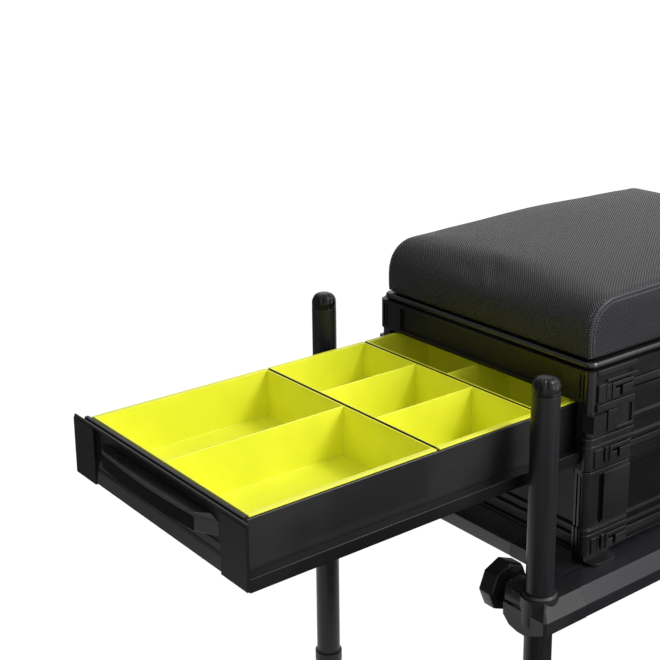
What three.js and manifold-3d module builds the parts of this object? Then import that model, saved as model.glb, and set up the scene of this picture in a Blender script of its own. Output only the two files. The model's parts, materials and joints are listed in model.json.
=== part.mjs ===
// Fishing seat box: seat, drawer unit and base stacked on a frame with four clamped telescopic legs.
// Millimetres, +Z up, +X to the right-hand side; the drawer pulls out towards -Y and stands open.
// The origin is on the ground, in the middle of the whole object's length and width.

import * as THREE from "three";
import { mergeVertices } from "three/addons/utils/BufferGeometryUtils.js";
import Module from "manifold-3d";

const wasm = await Module();
wasm.setup();

// Box footprint, and the heights that stack up from the ground
const boxWidth = 348;
const boxLength = 500;
const frameTop = 298;
const padHeight = 10;
const baseHeight = 101;
const unitHeight = 77;
const seatHeight = 37;
const lidHeight = 8;
const cushionHeight = 70;
const cornerRadius = 8;

// Clearances
const slideGap = 0.4;
const restGap = 0.3;
const lidGap = 0.5;
const overrun = 2;
const weldDistance = 1e-4;

// Frame rails
const railWidth = 52;
const railHeight = 31;
const railWall = 2.5;
const railBevelWidth = 10;
const railBevelDrop = 16.5;
const railLegCover = 13;
const crossRailDepth = 45;
const crossRailHeight = 17;
const crossRailSetOut = 23;

// Legs
const legDiameter = 30;
const legWall = 2;
const legEndSetOut = 80;
const legSideSetOut = 10;
const legRise = 245;
const legGroundGap = 36;
const collarRadius = 17.5;
const collarHeight = 15;
const capHeight = 18;
const capPlug = 12;
const capFlatRadius = 5;
const capShoulderRadius = 11;
const capShoulderDrop = 3;
const capBrowDrop = 9;
const capBandDrop = 12;
const innerLegInsert = 230;

// Ball foot
const footRadius = 30;
const footThickness = 6;
const footTopRadius = 27;
const ballRadius = 8;
const ballHeight = 14;
const ballPlay = 0.9;
const neckRadius = 4.5;
const socketRadius = 13;
const socketRise = 6;
const innerLegEndRise = 10;

// Corner castings and their clamp knobs
const castingBack = 44;
const castingFront = 20;
const castingCorner = 3;
const skirtDrop = 12;
const skirtReach = 12;
const skirtStep = 9;
const sleeveRadius = 21;
const lipRadius = 19;
const lipHeight = 4;
const armLength = 74;
const gussetStart = 24;
const gussetGap = 1;
const bossReach = 36;
const bossRadius = 18;
const bossStepRadius = 15;
const bossStep = 3;
const bossDrop = 11;
const knobRadius = 29;
const knobThickness = 24;
const knobFaceRadius = 21;
const knobBackRadius = 27;
const knobBevel = 5;
const knobHubRadius = 9;
const knobHubLength = 6;
const stemRadius = 4;

// Base unit
const columnLength = 69;
const columnFace = 19;
const shellDepth = 12;
const columnSetBack = 1.5;
const plinthHeight = 32;
const grooveWidth = 2;
const grooveDepth = 2;
const columnGrooveAt = 23;
const columnGrooveWidth = 4;
const faceGrooveAt = 9;
const faceGrooveStep = 5;
const faceGrooveInset = 6;
const floorThickness = 3;
const padInset = 3;
const padLength = 42;
const padProud = 12;
const padReach = 20;
const padTongue = 4;
const wallSkin = 4;
const ribProud = 3;
const ribHeight = 5;
const ribSlope = 2;
const rimHeight = 9;

// Slide latches
const latchTabLength = 34;
const latchTabHeight = 18;
const latchTabThickness = 3;
const latchTabAt = 32;
const latchBarHeight = 8;
const latchBarDepth = 3.6;
const latchTravel = 8;
const latchNotch = 5;
const seatLatchRise = 11;
const unitLatchRise = 15;
const baseLatchRise = 11;

// Drawer unit
const mouldingLength = 70;
const mouldingTaper = 10;
const mouldingPlinth = 38;
const wedgeLength = 24;
const wedgeHeight = 20;
const wedgeRise = 45;
const wedgeBack = 10;
const wedgeOut = 3;
const wedgeForward = 5;
const wedgeGap = 1.5;
const rearThickness = 6;
const rearGap = 4;
const ledgeWidth = 12;

// Drawer
const drawerTravel = 430.5;
const drawerSideGap = 6;
const drawerHeight = 65;
const drawerFloorGap = 4;
const drawerWall = 5;
const drawerEndWall = 2;
const drawerFloor = 2;
const runnerWidth = 13;
const runnerHeight = 14;
const panelGap = 0.5;
const panelOverhang = 13.5;
const panelThickness = 6;
const panelFlange = 3.5;
const panelBlockWidth = 43;
const panelBlockProud = 5;
const panelTopRise = 3.5;
const panelBottomRise = 2;
const panelLipHeight = 3;
const panelLipProud = 4;
const panelGrooveAt = 2.5;
const panelGrooveWidth = 3;
const panelGrooveDepth = 2;
const panelLowerHeight = 20;
const panelLowerProud = 2.5;
const handleBow = 16;
const handleEndBow = 12;
const handleEndTaper = 24;
const handleFacetHeight = 9;
const handleFacetInset = 12;
const handleHeight = 19;
const handleWall = 4;
const handleFootLength = 16;
const handleDrop = 11;
const handleEndGap = 8;

// Drawer inserts
const insertWall = 2;
const insertFloor = 2;
const insertDepth = 58;
const insertRimThickness = 2;
const insertRimInset = 1;
const insertGap = 2;
const insertLengthShares = [0.4786, 0.3023, 0.2191];
const insertCompartments = [2, 3, 2];

// Seat tray, lid and cushion
const seatBlockLength = 60;
const seatBlockWidth = 40;
const seatRecess = 4;
const seatWall = 6;
const seatFloor = 3;
const lidInset = 3;
const beadRadius = 3.5;
const lidCornerRadius = 10;
const hingeRadius = 4;
const hingePinRadius = 2;
const hingePinPlay = 0.2;
const hingeKnuckle = 40;
const hingeHalf = 60;
const hingeSideGap = 0.5;
const hingeWeb = 3;
const hingeWebDrop = 12;
const cushionInset = 2.5;
const cushionEdgeRadius = 36;
const cushionCrown = 5;
const cushionDraw = 2.5;
const cushionEndRound = 9;
const cushionEndDome = 3;

// Round counts
const legSides = 24;
const bossSides = 20;
const ballSides = 12;
const ballRings = 8;
const knobSides = 8;
const pinSides = 12;
const arcSteps = 4;
const bowSteps = 14;
const beadSteps = 3;
const cushionArcSteps = 8;
const cushionFlatSteps = 8;

// Sizes that follow
const halfX = boxWidth / 2;
const halfY = boxLength / 2;
const baseBottom = frameTop + padHeight;
const unitBottom = baseBottom + baseHeight;
const seatBottom = unitBottom + unitHeight;
const seatTop = seatBottom + seatHeight;
const lidBottom = seatTop + lidGap;
const lidTop = lidBottom + lidHeight;
const legRadius = legDiameter / 2;
const legX = halfX + legSideSetOut;
const legY = halfY + legEndSetOut;
const legTop = frameTop + legRise;
const legBore = legRadius - legWall;
const innerLegRadius = legBore - slideGap;
const railOuterX = legX + legRadius + railLegCover;
const railInnerX = railOuterX - railWidth;
const railEndY = legY - castingBack;
const railBottom = frameTop - railHeight;
const crossOuterY = halfY + crossRailSetOut;
const crossInnerY = crossOuterY - crossRailDepth;
const crossHalfX = railInnerX - armLength;
const bossInnerX = legX - bossReach;
const clampZ = frameTop - bossDrop;
const innerShellX = halfX - shellDepth;
const innerShellY = halfY - shellDepth;
const mouldingInnerX = halfX - columnFace;
const channelX = halfX - wallSkin;
const drawerHalfX = mouldingInnerX - drawerSideGap;
const runnerOuterX = drawerHalfX + runnerWidth;
const unitSideInnerX = runnerOuterX + slideGap;
const drawerBottom = unitBottom + floorThickness + drawerFloorGap;
const drawerTop = drawerBottom + drawerHeight;
const flangeRearY = -halfY - panelGap;
const flangeFrontY = flangeRearY - panelFlange;
const panelFrontY = flangeFrontY + panelBlockProud;
const drawerFrontY = panelFrontY + panelThickness;
const drawerRearY = halfY - rearThickness - rearGap;
const panelHalfX = drawerHalfX + panelOverhang;
const handleHalfX = panelHalfX - panelBlockWidth - handleEndGap;
const handleMiddleZ = drawerTop - handleDrop - handleHeight / 2;
const handleFrontY = panelFrontY - handleBow;
const hingeY = halfY + hingeRadius + lidGap;
const hingeZ = lidBottom;
const lidHalfX = halfX - lidInset;
const lidHalfY = halfY - lidInset;

// Materials
function finish(color, roughness, metalness) {
  return new THREE.MeshStandardMaterial({ color, roughness, metalness });
}

const materials = {
  rail: finish("#3d3b43", 0.42, 0.6),
  casting: finish("#303033", 0.45, 0.4),
  leg: finish("#1d1d1f", 0.38, 0.5),
  innerLeg: finish("#8a8c90", 0.35, 0.9),
  plastic: finish("#232324", 0.5, 0),
  drawer: finish("#29292a", 0.45, 0),
  gloss: finish("#141415", 0.18, 0),
  lime: finish("#e0e61e", 0.4, 0),
  leatherette: finish("#222223", 0.55, 0),
  rubber: finish("#1b1b1b", 0.8, 0),
  steel: finish("#b4b6b8", 0.3, 1),
};

// A closed three.js geometry as a solid: shared corners welded, flat triangles dropped, faces turned out
function solidOf(geometry) {
  const bare = geometry.clone();
  bare.deleteAttribute("normal");
  bare.deleteAttribute("uv");
  const welded = mergeVertices(bare, weldDistance);
  const corners = Array.from(welded.index.array);
  const faces = [];
  for (let i = 0; i < corners.length; i += 3) {
    const [a, b, c] = corners.slice(i, i + 3);
    if (a !== b && b !== c && a !== c) faces.push([a, b, c]);
  }
  const make = (list) =>
    new wasm.Manifold(
      new wasm.Mesh({
        numProp: 3,
        vertProperties: new Float32Array(welded.attributes.position.array),
        triVerts: new Uint32Array(list.flat()),
      }),
    );
  const made = make(faces);
  return made.volume() < 0 ? make(faces.map(([a, b, c]) => [a, c, b])) : made;
}

function geometryOf(solid) {
  const mesh = solid.getMesh();
  const geometry = new THREE.BufferGeometry();
  geometry.setAttribute("position", new THREE.BufferAttribute(mesh.vertProperties, 3));
  geometry.setIndex(new THREE.BufferAttribute(mesh.triVerts, 1));
  const faceted = geometry.toNonIndexed();
  faceted.computeVertexNormals();
  return faceted;
}

function joined(...solids) {
  return solids.reduce((whole, next) => whole.add(next));
}

function cut(solid, ...tools) {
  return tools.reduce((whole, tool) => whole.subtract(tool), solid);
}

// Moves every corner of a geometry by a rule, so that stated faces keep their exact places
function reshaped(geometry, rule) {
  const places = geometry.attributes.position;
  for (let i = 0; i < places.count; i++) {
    places.setXYZ(i, ...rule(places.getX(i), places.getY(i), places.getZ(i)));
  }
  return geometry;
}

// A block between two corners
function block([x0, x1], [y0, y1], [z0, z1]) {
  const pick = (low, high) => (side) => (side < 0 ? low : high);
  const [x, y, z] = [pick(x0, x1), pick(y0, y1), pick(z0, z1)];
  return solidOf(reshaped(new THREE.BoxGeometry(), (a, b, c) => [x(a), y(b), z(c)]));
}

function extruded(points) {
  const shape = new THREE.Shape(points.map(([a, b]) => new THREE.Vector2(a, b)));
  return new THREE.ExtrudeGeometry(shape, { depth: 1, bevelEnabled: false });
}

// An outline swept along one axis: [x, y] up Z, [y, z] along X, or [x, z] along Y
function sweptUp(points, [from, to]) {
  return solidOf(reshaped(extruded(points), (a, b, c) => [a, b, c ? to : from]));
}

function sweptAcross(points, [from, to]) {
  return solidOf(reshaped(extruded(points), (a, b, c) => [c ? to : from, a, b]));
}

function sweptAlong(points, [from, to]) {
  return solidOf(reshaped(extruded(points), (a, b, c) => [a, c ? to : from, b]));
}

// An outline that turns into another with as many points, from one height to the next
function lofted(lower, upper, [from, to]) {
  const places = new Map(lower.map(([a, b], i) => [`${Math.fround(a)} ${Math.fround(b)}`, i]));
  const rule = (a, b, c) => {
    if (!c) return [a, b, from];
    const [x, y] = upper[places.get(`${Math.fround(a)} ${Math.fround(b)}`)];
    return [x, y, to];
  };
  return solidOf(reshaped(extruded(lower), rule));
}

// A profile of [radius, height] turned about Z
function turned(profile, sides) {
  const points = profile.map(([radius, height]) => new THREE.Vector2(radius, height));
  return solidOf(new THREE.LatheGeometry(points, sides).rotateX(Math.PI / 2));
}

// A profile of [radius, distance] turned about an axis along X
function turnedAcross(profile, sides, y, z) {
  const points = profile.map(([radius, distance]) => new THREE.Vector2(radius, distance));
  const geometry = new THREE.LatheGeometry(points, sides).rotateZ(-Math.PI / 2);
  return solidOf(reshaped(geometry, (a, b, c) => [a, b + y, c + z]));
}

function rod(radius, [from, to], sides) {
  return turned([[0, from], [radius, from], [radius, to], [0, to]], sides);
}

function rodAcross(radius, [from, to], sides, y, z) {
  return turnedAcross([[0, from], [radius, from], [radius, to], [0, to]], sides, y, z);
}

function moved(solid, x, y) {
  return solidOf(geometryOf(solid).translate(x, y, 0));
}

// Points of an arc round a centre, first and last point included
function arc(centreX, centreY, radius, startTurn, endTurn, steps) {
  return Array.from({ length: steps + 1 }, (_, i) => {
    const angle = 2 * Math.PI * (startTurn + ((endTurn - startTurn) * i) / steps);
    return [centreX + radius * Math.cos(angle), centreY + radius * Math.sin(angle)];
  });
}

function roundedRectangle(halfWidth, halfLength, radius) {
  return [
    ...arc(halfWidth - radius, halfLength - radius, radius, 0, 1 / 4, arcSteps),
    ...arc(radius - halfWidth, halfLength - radius, radius, 1 / 4, 1 / 2, arcSteps),
    ...arc(radius - halfWidth, radius - halfLength, radius, 1 / 2, 3 / 4, arcSteps),
    ...arc(halfWidth - radius, radius - halfLength, radius, 3 / 4, 1, arcSteps),
  ];
}

// A solid as a named mesh in a group
function addPiece(group, name, solid, material) {
  const mesh = new THREE.Mesh(geometryOf(solid), material.clone());
  mesh.name = name;
  group.add(mesh);
}

// The pieces of the right side are modelled, and the left side mirrors them
const sides = [
  ["left", -1],
  ["right", 1],
];
const ends = [
  ["front", -1],
  ["rear", 1],
];

function mirroredGroup(parent, acrossX, acrossY) {
  const group = new THREE.Group();
  group.scale.set(acrossX, acrossY, 1);
  parent.add(group);
  return group;
}

function forEachCorner(parent, build) {
  for (const [end, acrossY] of ends) {
    for (const [side, acrossX] of sides) {
      build(mirroredGroup(parent, acrossX, acrossY), `${end}_${side}`);
    }
  }
}

// Side rail: a hollow extrusion with a bevelled outer edge
function sideRail() {
  const bevelX = railOuterX - railBevelWidth;
  const bevelZ = frameTop - railBevelDrop;
  const outer = [
    [railInnerX, railBottom],
    [railOuterX, railBottom],
    [railOuterX, bevelZ],
    [bevelX, frameTop],
    [railInnerX, frameTop],
  ];
  const wall = railWall;
  const hollow = [
    [railInnerX + wall, railBottom + wall],
    [railOuterX - wall, railBottom + wall],
    [railOuterX - wall, bevelZ - wall],
    [bevelX - wall, frameTop - wall],
    [railInnerX + wall, frameTop - wall],
  ];
  return cut(
    sweptAlong(outer, [-railEndY, railEndY]),
    sweptAlong(hollow, [-railEndY - overrun, railEndY + overrun]),
  );
}

// Cross rail: a flat hollow bar between two casting arms
function crossRail() {
  const bottom = frameTop - crossRailHeight;
  return cut(
    block([-crossHalfX, crossHalfX], [crossInnerY, crossOuterY], [bottom, frameTop]),
    block(
      [-crossHalfX - overrun, crossHalfX + overrun],
      [crossInnerY + railWall, crossOuterY - railWall],
      [bottom + railWall, frameTop - railWall],
    ),
  );
}

// Corner casting: bevelled block with a leg sleeve, a clamp boss, and an arm to the cross rail
function cornerCasting() {
  const outerX = railOuterX;
  const outerY = legY + castingFront;
  const bevelZ = frameTop - railBevelDrop;
  const inset = railBevelWidth;
  const chamfer = castingCorner;
  const innerX = legX - legRadius - overrun;
  const lower = [
    [railInnerX, railEndY],
    [outerX, railEndY],
    [outerX, outerY - chamfer],
    [outerX - chamfer, outerY],
    [innerX, outerY],
    [railInnerX, outerY - chamfer],
  ];
  const housing = [
    [bossInnerX, legY - bossRadius],
    [innerX, legY - bossRadius],
    [innerX, outerY],
    [bossInnerX + chamfer, outerY],
    [bossInnerX, outerY - chamfer],
  ];
  const skirt = [
    [bossInnerX + chamfer, railBottom],
    [bossInnerX + chamfer + skirtStep, railBottom - skirtStep],
    [legX - skirtReach, railBottom - skirtDrop],
    [legX, railBottom - skirtDrop],
    [outerX - chamfer, railBottom],
  ];
  const upper = [
    [railInnerX, railEndY],
    [outerX - inset, railEndY],
    [outerX - inset, outerY - chamfer - inset / 2],
    [outerX - chamfer - inset / 2, outerY - inset],
    [innerX, outerY - inset],
    [railInnerX, outerY - chamfer],
  ];
  const gussetX = crossHalfX + gussetStart;
  const gussetY = legY - knobRadius - gussetGap;
  const arm = [
    [crossHalfX, crossInnerY],
    [railInnerX, crossInnerY],
    [railInnerX, railEndY],
    [railInnerX + overrun, railEndY],
    [railInnerX + overrun, legY],
    [bossInnerX, legY],
    [bossInnerX, gussetY],
    [gussetX, crossOuterY],
    [crossHalfX, crossOuterY],
  ];
  const sleeve = turned(
    [
      [0, railBottom],
      [sleeveRadius, railBottom],
      [sleeveRadius, frameTop],
      [lipRadius, frameTop],
      [lipRadius, frameTop + lipHeight / 2],
      [lipRadius - lipHeight / 2, frameTop + lipHeight],
      [0, frameTop + lipHeight],
    ],
    legSides,
  );
  const boss = turnedAcross(
    [
      [0, bossInnerX],
      [bossStepRadius, bossInnerX],
      [bossStepRadius, bossInnerX + bossStep],
      [bossRadius, bossInnerX + bossStep],
      [bossRadius, legX],
      [0, legX],
    ],
    bossSides,
    legY,
    clampZ,
  );
  const body = joined(
    sweptUp(lower, [railBottom, bevelZ]),
    lofted(lower, upper, [bevelZ, frameTop]),
    sweptUp(housing, [railBottom, bevelZ]),
    sweptAlong(skirt, [legY, outerY]),
    sweptUp(arm, [frameTop - crossRailHeight, frameTop]),
    moved(sleeve, legX, legY),
    boss,
  );
  const topMost = Math.max(frameTop + lipHeight, clampZ + bossRadius);
  const boreSpan = [railBottom - skirtDrop - overrun, topMost + overrun];
  const bore = moved(rod(legRadius + slideGap, boreSpan, legSides), legX, legY);
  const stemSpan = [bossInnerX - overrun, legX];
  const stemBore = rodAcross(stemRadius + slideGap, stemSpan, pinSides, legY, clampZ);
  return cut(body, bore, stemBore);
}

// Clamp knob: eight-sided grip, hub and the stem that presses on the leg
function clampKnob() {
  const hubEnd = bossInnerX - restGap;
  const back = hubEnd - knobHubLength;
  const front = back - knobThickness;
  const stemEnd = legX - legRadius - restGap;
  return turnedAcross(
    [
      [0, front],
      [knobFaceRadius, front],
      [knobRadius, front + knobBevel],
      [knobRadius, back - knobBevel],
      [knobBackRadius, back],
      [knobHubRadius, back],
      [knobHubRadius, hubEnd],
      [stemRadius, hubEnd],
      [stemRadius, stemEnd],
      [0, stemEnd],
    ],
    knobSides,
    legY,
    clampZ,
  );
}

// Outer leg tube with its lower collar
function legTube() {
  const bottom = legGroundGap;
  const top = legTop - capHeight;
  const collarTop = bottom + collarHeight;
  const tube = turned(
    [
      [legBore, bottom],
      [collarRadius, bottom],
      [collarRadius, collarTop],
      [legRadius, collarTop],
      [legRadius, top],
      [legBore, top],
      [legBore, bottom],
    ],
    legSides,
  );
  return moved(tube, legX, legY);
}

// Domed cap with a plug in the tube
function legCap() {
  const plugTop = legTop - capHeight;
  const cap = turned(
    [
      [0, plugTop - capPlug],
      [innerLegRadius, plugTop - capPlug],
      [innerLegRadius, plugTop],
      [legRadius, plugTop],
      [legRadius, legTop - capBandDrop],
      [legRadius - slideGap, legTop - capBrowDrop],
      [capShoulderRadius, legTop - capShoulderDrop],
      [capFlatRadius, legTop],
      [0, legTop],
    ],
    legSides,
  );
  return moved(cap, legX, legY);
}

// Inner leg: a tube closed at its lower end, with a neck and ball
function innerLeg() {
  const end = ballHeight + innerLegEndRise;
  const top = legGroundGap + innerLegInsert;
  const bore = innerLegRadius - legWall;
  const tube = turned(
    [
      [0, end],
      [innerLegRadius, end],
      [innerLegRadius, top],
      [bore, top],
      [bore, end + legWall],
      [0, end + legWall],
    ],
    legSides,
  );
  const neck = rod(neckRadius, [ballHeight, end + legWall / 2], ballSides);
  const ball = ballAt(ballRadius);
  return moved(joined(tube, neck, ball), legX, legY);
}

function ballAt(radius) {
  const ball = new THREE.SphereGeometry(radius, ballSides, ballRings).rotateX(Math.PI / 2);
  return solidOf(ball.translate(0, 0, ballHeight));
}

// Foot: a disc with a socket that holds the ball
function foot() {
  const socketTop = ballHeight + socketRise;
  const body = turned(
    [
      [0, 0],
      [footRadius, 0],
      [footRadius, footThickness / 2],
      [footTopRadius, footThickness],
      [socketRadius, footThickness],
      [socketRadius, socketTop],
      [0, socketTop],
    ],
    legSides,
  );
  return moved(cut(body, ballAt(ballRadius + ballPlay)), legX, legY);
}

// Plan of a corner piece with its outer corner rounded, in the right rear quarter
function cornerPlan(outX, outY, length, face, depthX, depthY) {
  const radius = cornerRadius;
  return [
    [outX, halfY - length],
    ...arc(outX - radius, outY - radius, radius, 0, 1 / 4, arcSteps),
    [halfX - face, outY],
    [halfX - face, halfY - depthY],
    [halfX - depthX, halfY - depthY],
    [halfX - depthX, halfY - length],
  ];
}

// Room that a latch bar needs in a corner piece, from the wall side to the end of its travel
function latchSlot(middleZ) {
  const half = latchBarHeight / 2 + slideGap;
  const reach = halfY - latchTabAt + latchTravel + slideGap;
  return block(
    [channelX, halfX + overrun],
    [halfY - mouldingLength - overrun, reach],
    [middleZ - half, middleZ + half],
  );
}

const seatLatchZ = seatBottom + seatLatchRise;
const unitLatchZ = unitBottom + unitLatchRise;
const baseLatchZ = baseBottom + baseLatchRise;

// Corner column of the base: plinth, column with grooves, and the pad that stands on the rail
function baseCorner() {
  const plinthTop = baseBottom + plinthHeight;
  const upX = halfX - columnSetBack;
  const upY = halfY - columnSetBack;
  const plinth = cornerPlan(halfX, halfY, columnLength, columnFace, shellDepth, shellDepth);
  const column = cornerPlan(upX, upY, columnLength, columnFace, shellDepth, shellDepth);
  const sideGroove = block(
    [upX - grooveDepth, halfX + overrun],
    [halfY - columnGrooveAt - columnGrooveWidth, halfY - columnGrooveAt],
    [plinthTop + grooveWidth, unitBottom - rimHeight],
  );
  const faceGrooves = [faceGrooveAt, faceGrooveAt + faceGrooveStep].map((at) =>
    block(
      [halfX - at - grooveWidth, halfX - at],
      [upY - grooveDepth, halfY + overrun],
      [baseBottom + faceGrooveInset, unitBottom - faceGrooveInset],
    ),
  );
  const padY = halfY - padInset;
  const pad = block(
    [halfX - padReach, halfX - padInset],
    [padY - padLength, padY],
    [frameTop, baseBottom],
  );
  const tongue = sweptUp(
    [
      [halfX - padReach, padY - padLength],
      ...arc(halfX, padY - padLength + padProud, padProud, -1 / 4, 0, arcSteps),
      ...arc(halfX, padY - padProud, padProud, 0, 1 / 4, arcSteps),
      [halfX - padReach, padY],
    ],
    [frameTop, frameTop + padTongue],
  );
  const body = joined(
    sweptUp(plinth, [baseBottom, plinthTop]),
    sweptUp(column, [plinthTop, unitBottom]),
    pad,
    tongue,
  );
  return cut(body, sideGroove, ...faceGrooves, latchSlot(baseLatchZ));
}

// Outline of a ribbed wall as [distance out, height]: latch channel, rib, flat field and rim
function ribbedWall(inner, outer, bottom, top, channelZ, ribZ) {
  const skin = outer - wallSkin;
  const half = latchBarHeight / 2 + slideGap;
  const proud = skin + ribProud;
  return [
    [inner, bottom],
    [proud, bottom],
    [proud, channelZ - half - ribSlope / 2],
    [skin, channelZ - half],
    [skin, channelZ + half],
    [proud, channelZ + half + ribSlope / 2],
    [proud, channelZ + half + ribHeight],
    [skin, channelZ + half + ribHeight + ribSlope],
    [skin, ribZ - ribSlope],
    [proud, ribZ],
    [proud, ribZ + ribHeight],
    [skin, ribZ + ribHeight + ribSlope],
    [skin, top - rimHeight - ribSlope],
    [proud, top - rimHeight],
    [proud, top],
    [inner, top],
  ];
}

const baseRibZ = baseBottom + plinthHeight - ribHeight;
const unitRibZ = unitBottom + (unitHeight + rimHeight) / 2;

function baseSideWall() {
  const outline = ribbedWall(innerShellX, halfX, baseBottom, unitBottom, baseLatchZ, baseRibZ);
  const end = halfY - columnLength;
  return sweptAlong(outline, [-end, end]);
}

function baseEndWall() {
  const outline = ribbedWall(innerShellY, halfY, baseBottom, unitBottom, baseLatchZ, baseRibZ);
  const end = halfX - columnFace;
  return sweptAcross(outline, [-end, end]);
}

function baseFloor() {
  return block(
    [-innerShellX, innerShellX],
    [-innerShellY, innerShellY],
    [baseBottom, baseBottom + floorThickness],
  );
}

// Side of the drawer unit: ribbed wall, a moulding with a wedge at each end
function unitSide() {
  const outline = ribbedWall(
    unitSideInnerX,
    halfX,
    unitBottom,
    seatBottom,
    unitLatchZ,
    unitRibZ,
  );
  const wallEnd = halfY - mouldingLength;
  const wall = sweptAlong(outline, [-wallEnd, wallEnd]);
  const ledge = block(
    [unitSideInnerX - ledgeWidth, unitSideInnerX + overrun],
    [-halfY, halfY - rearThickness],
    [unitBottom + floorThickness, drawerBottom - slideGap],
  );
  const side = joined(wall, unitMoulding(), turnedEnd(unitMoulding()), ledge);
  const runnerRoom = block(
    [mouldingInnerX - overrun, unitSideInnerX],
    [-halfY - overrun, halfY - rearThickness],
    [drawerBottom - slideGap, drawerBottom + runnerHeight + slideGap],
  );
  return cut(side, runnerRoom);
}

// The same solid at the other end of the box
function turnedEnd(solid) {
  return solidOf(geometryOf(solid).scale(1, -1, 1));
}

function unitMoulding() {
  const start = halfY - mouldingLength;
  const radius = cornerRadius;
  const plan = (outX, outY) => [
    [unitSideInnerX, start],
    [outX, start],
    ...arc(outX - radius, outY - radius, radius, 0, 1 / 4, arcSteps),
    [mouldingInnerX, outY],
    [mouldingInnerX, start + mouldingTaper],
    [unitSideInnerX, start + mouldingTaper],
  ];
  const upX = halfX - columnSetBack;
  const plinthTop = unitBottom + mouldingPlinth;
  const wedgeX = panelHalfX + wedgeGap;
  const wedgePlan = [
    [wedgeX, halfY - wedgeBack],
    [upX - grooveDepth, halfY - wedgeLength],
    [halfX + wedgeOut, halfY - wedgeLength],
    [halfX + wedgeOut, halfY + wedgeForward / 2],
    [wedgeX, halfY + wedgeForward],
  ];
  const wedgeSpan = [unitBottom + wedgeRise, unitBottom + wedgeRise + wedgeHeight];
  const wedge = sweptUp(wedgePlan, wedgeSpan);
  const groove = block(
    [upX - grooveDepth, halfX + overrun],
    [halfY - wedgeLength - columnGrooveWidth, halfY - wedgeLength],
    wedgeSpan,
  );
  const lower = sweptUp(plan(halfX, halfY), [unitBottom, plinthTop]);
  const upper = sweptUp(plan(upX, halfY - columnSetBack), [plinthTop, seatBottom]);
  const body = joined(lower, upper, wedge);
  return cut(body, groove, latchSlot(unitLatchZ));
}

// Plan that fills the drawer unit between its sides, narrower beside the end mouldings
function betweenSides(halfLength) {
  const step = halfY - mouldingLength + mouldingTaper;
  return [
    [mouldingInnerX, -halfLength],
    [mouldingInnerX, -step],
    [unitSideInnerX, -step],
    [unitSideInnerX, step],
    [mouldingInnerX, step],
    [mouldingInnerX, halfLength],
  ];
}

function unitFloor() {
  const right = betweenSides(halfY);
  const left = right.map(([x, y]) => [-x, y]).reverse();
  return sweptUp([...right, ...left], [unitBottom, unitBottom + floorThickness]);
}

function unitRear() {
  return block(
    [-mouldingInnerX, mouldingInnerX],
    [halfY - rearThickness, halfY],
    [unitBottom + floorThickness, seatBottom],
  );
}

// Runner: a channel along the foot of the drawer's side that slides in the unit's mouldings
function drawerRunner() {
  return block(
    [drawerHalfX, runnerOuterX],
    [flangeRearY, drawerRearY],
    [drawerBottom, drawerBottom + runnerHeight],
  );
}

// Drawer shell: an open tray
function drawerShell() {
  return cut(
    block([-drawerHalfX, drawerHalfX], [drawerFrontY, drawerRearY], [drawerBottom, drawerTop]),
    block(
      [drawerWall - drawerHalfX, drawerHalfX - drawerWall],
      [drawerFrontY + drawerEndWall, drawerRearY - drawerEndWall],
      [drawerBottom + drawerFloor, drawerTop + overrun],
    ),
  );
}

// Front panel: plate, two raised end blocks with side flanges, a lip along the top and a lower field
function drawerFront() {
  const bottom = drawerBottom + panelBottomRise;
  const top = drawerTop + panelTopRise;
  const blockTop = top - panelLipHeight;
  const blockX = panelHalfX - panelBlockWidth;
  const plate = block([-drawerHalfX, drawerHalfX], [panelFrontY, drawerFrontY], [bottom, top]);
  const flanges = [
    block([-panelHalfX, -blockX], [flangeFrontY, flangeRearY], [bottom, blockTop]),
    block([blockX, panelHalfX], [flangeFrontY, flangeRearY], [bottom, blockTop]),
  ];
  const blocks = [
    block([-drawerHalfX, -blockX], [flangeFrontY, panelFrontY], [bottom, blockTop]),
    block([blockX, drawerHalfX], [flangeFrontY, panelFrontY], [bottom, blockTop]),
  ];
  const lipY = panelFrontY - panelLipProud;
  const lip = [
    block([-panelHalfX, panelHalfX], [lipY, flangeRearY], [blockTop, top]),
    block([-drawerHalfX, drawerHalfX], [lipY, panelFrontY], [blockTop, top]),
  ];
  const lower = block(
    [-blockX, blockX],
    [panelFrontY - panelLowerProud, panelFrontY],
    [bottom + panelBottomRise, bottom + panelLowerHeight],
  );
  const groove = block(
    [-panelHalfX - overrun, panelHalfX + overrun],
    [lipY + panelGrooveAt, lipY + panelGrooveAt + panelGrooveWidth],
    [top - panelGrooveDepth, top + overrun],
  );
  return cut(joined(plate, ...flanges, ...blocks, ...lip, lower), groove);
}

// Bow handle: a hood with slanted, faceted ends, hollow from below for the fingers
function drawerHandle() {
  const top = handleMiddleZ + handleHeight / 2;
  const bottom = handleMiddleZ - handleHeight / 2;
  const facetZ = top - handleFacetHeight;
  const foot = bowPlan(handleHalfX, handleEndTaper, 0);
  const crown = bowPlan(handleHalfX - handleFacetInset, handleEndTaper - handleFacetInset, 0);
  const hollow = sweptUp(bowPlan(handleHalfX - handleFootLength, handleEndTaper, handleWall), [
    bottom - overrun,
    top - handleWall,
  ]);
  const hood = joined(sweptUp(foot, [bottom, facetZ]), lofted(foot, crown, [facetZ, top]));
  return cut(hood, hollow);
}

// Plan of the bow: a slanted end, the bowed front and the other slanted end
function bowPlan(halfWidth, taper, wall) {
  const bow = Array.from({ length: bowSteps + 1 }, (_, i) => {
    const share = (2 * i) / bowSteps - 1;
    const rise = handleEndBow + (handleBow - handleEndBow) * Math.cos((Math.PI / 2) * share);
    return [(halfWidth - taper) * share, panelFrontY - rise + wall];
  });
  return [[-halfWidth, panelFrontY], ...bow, [halfWidth, panelFrontY]];
}

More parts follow.
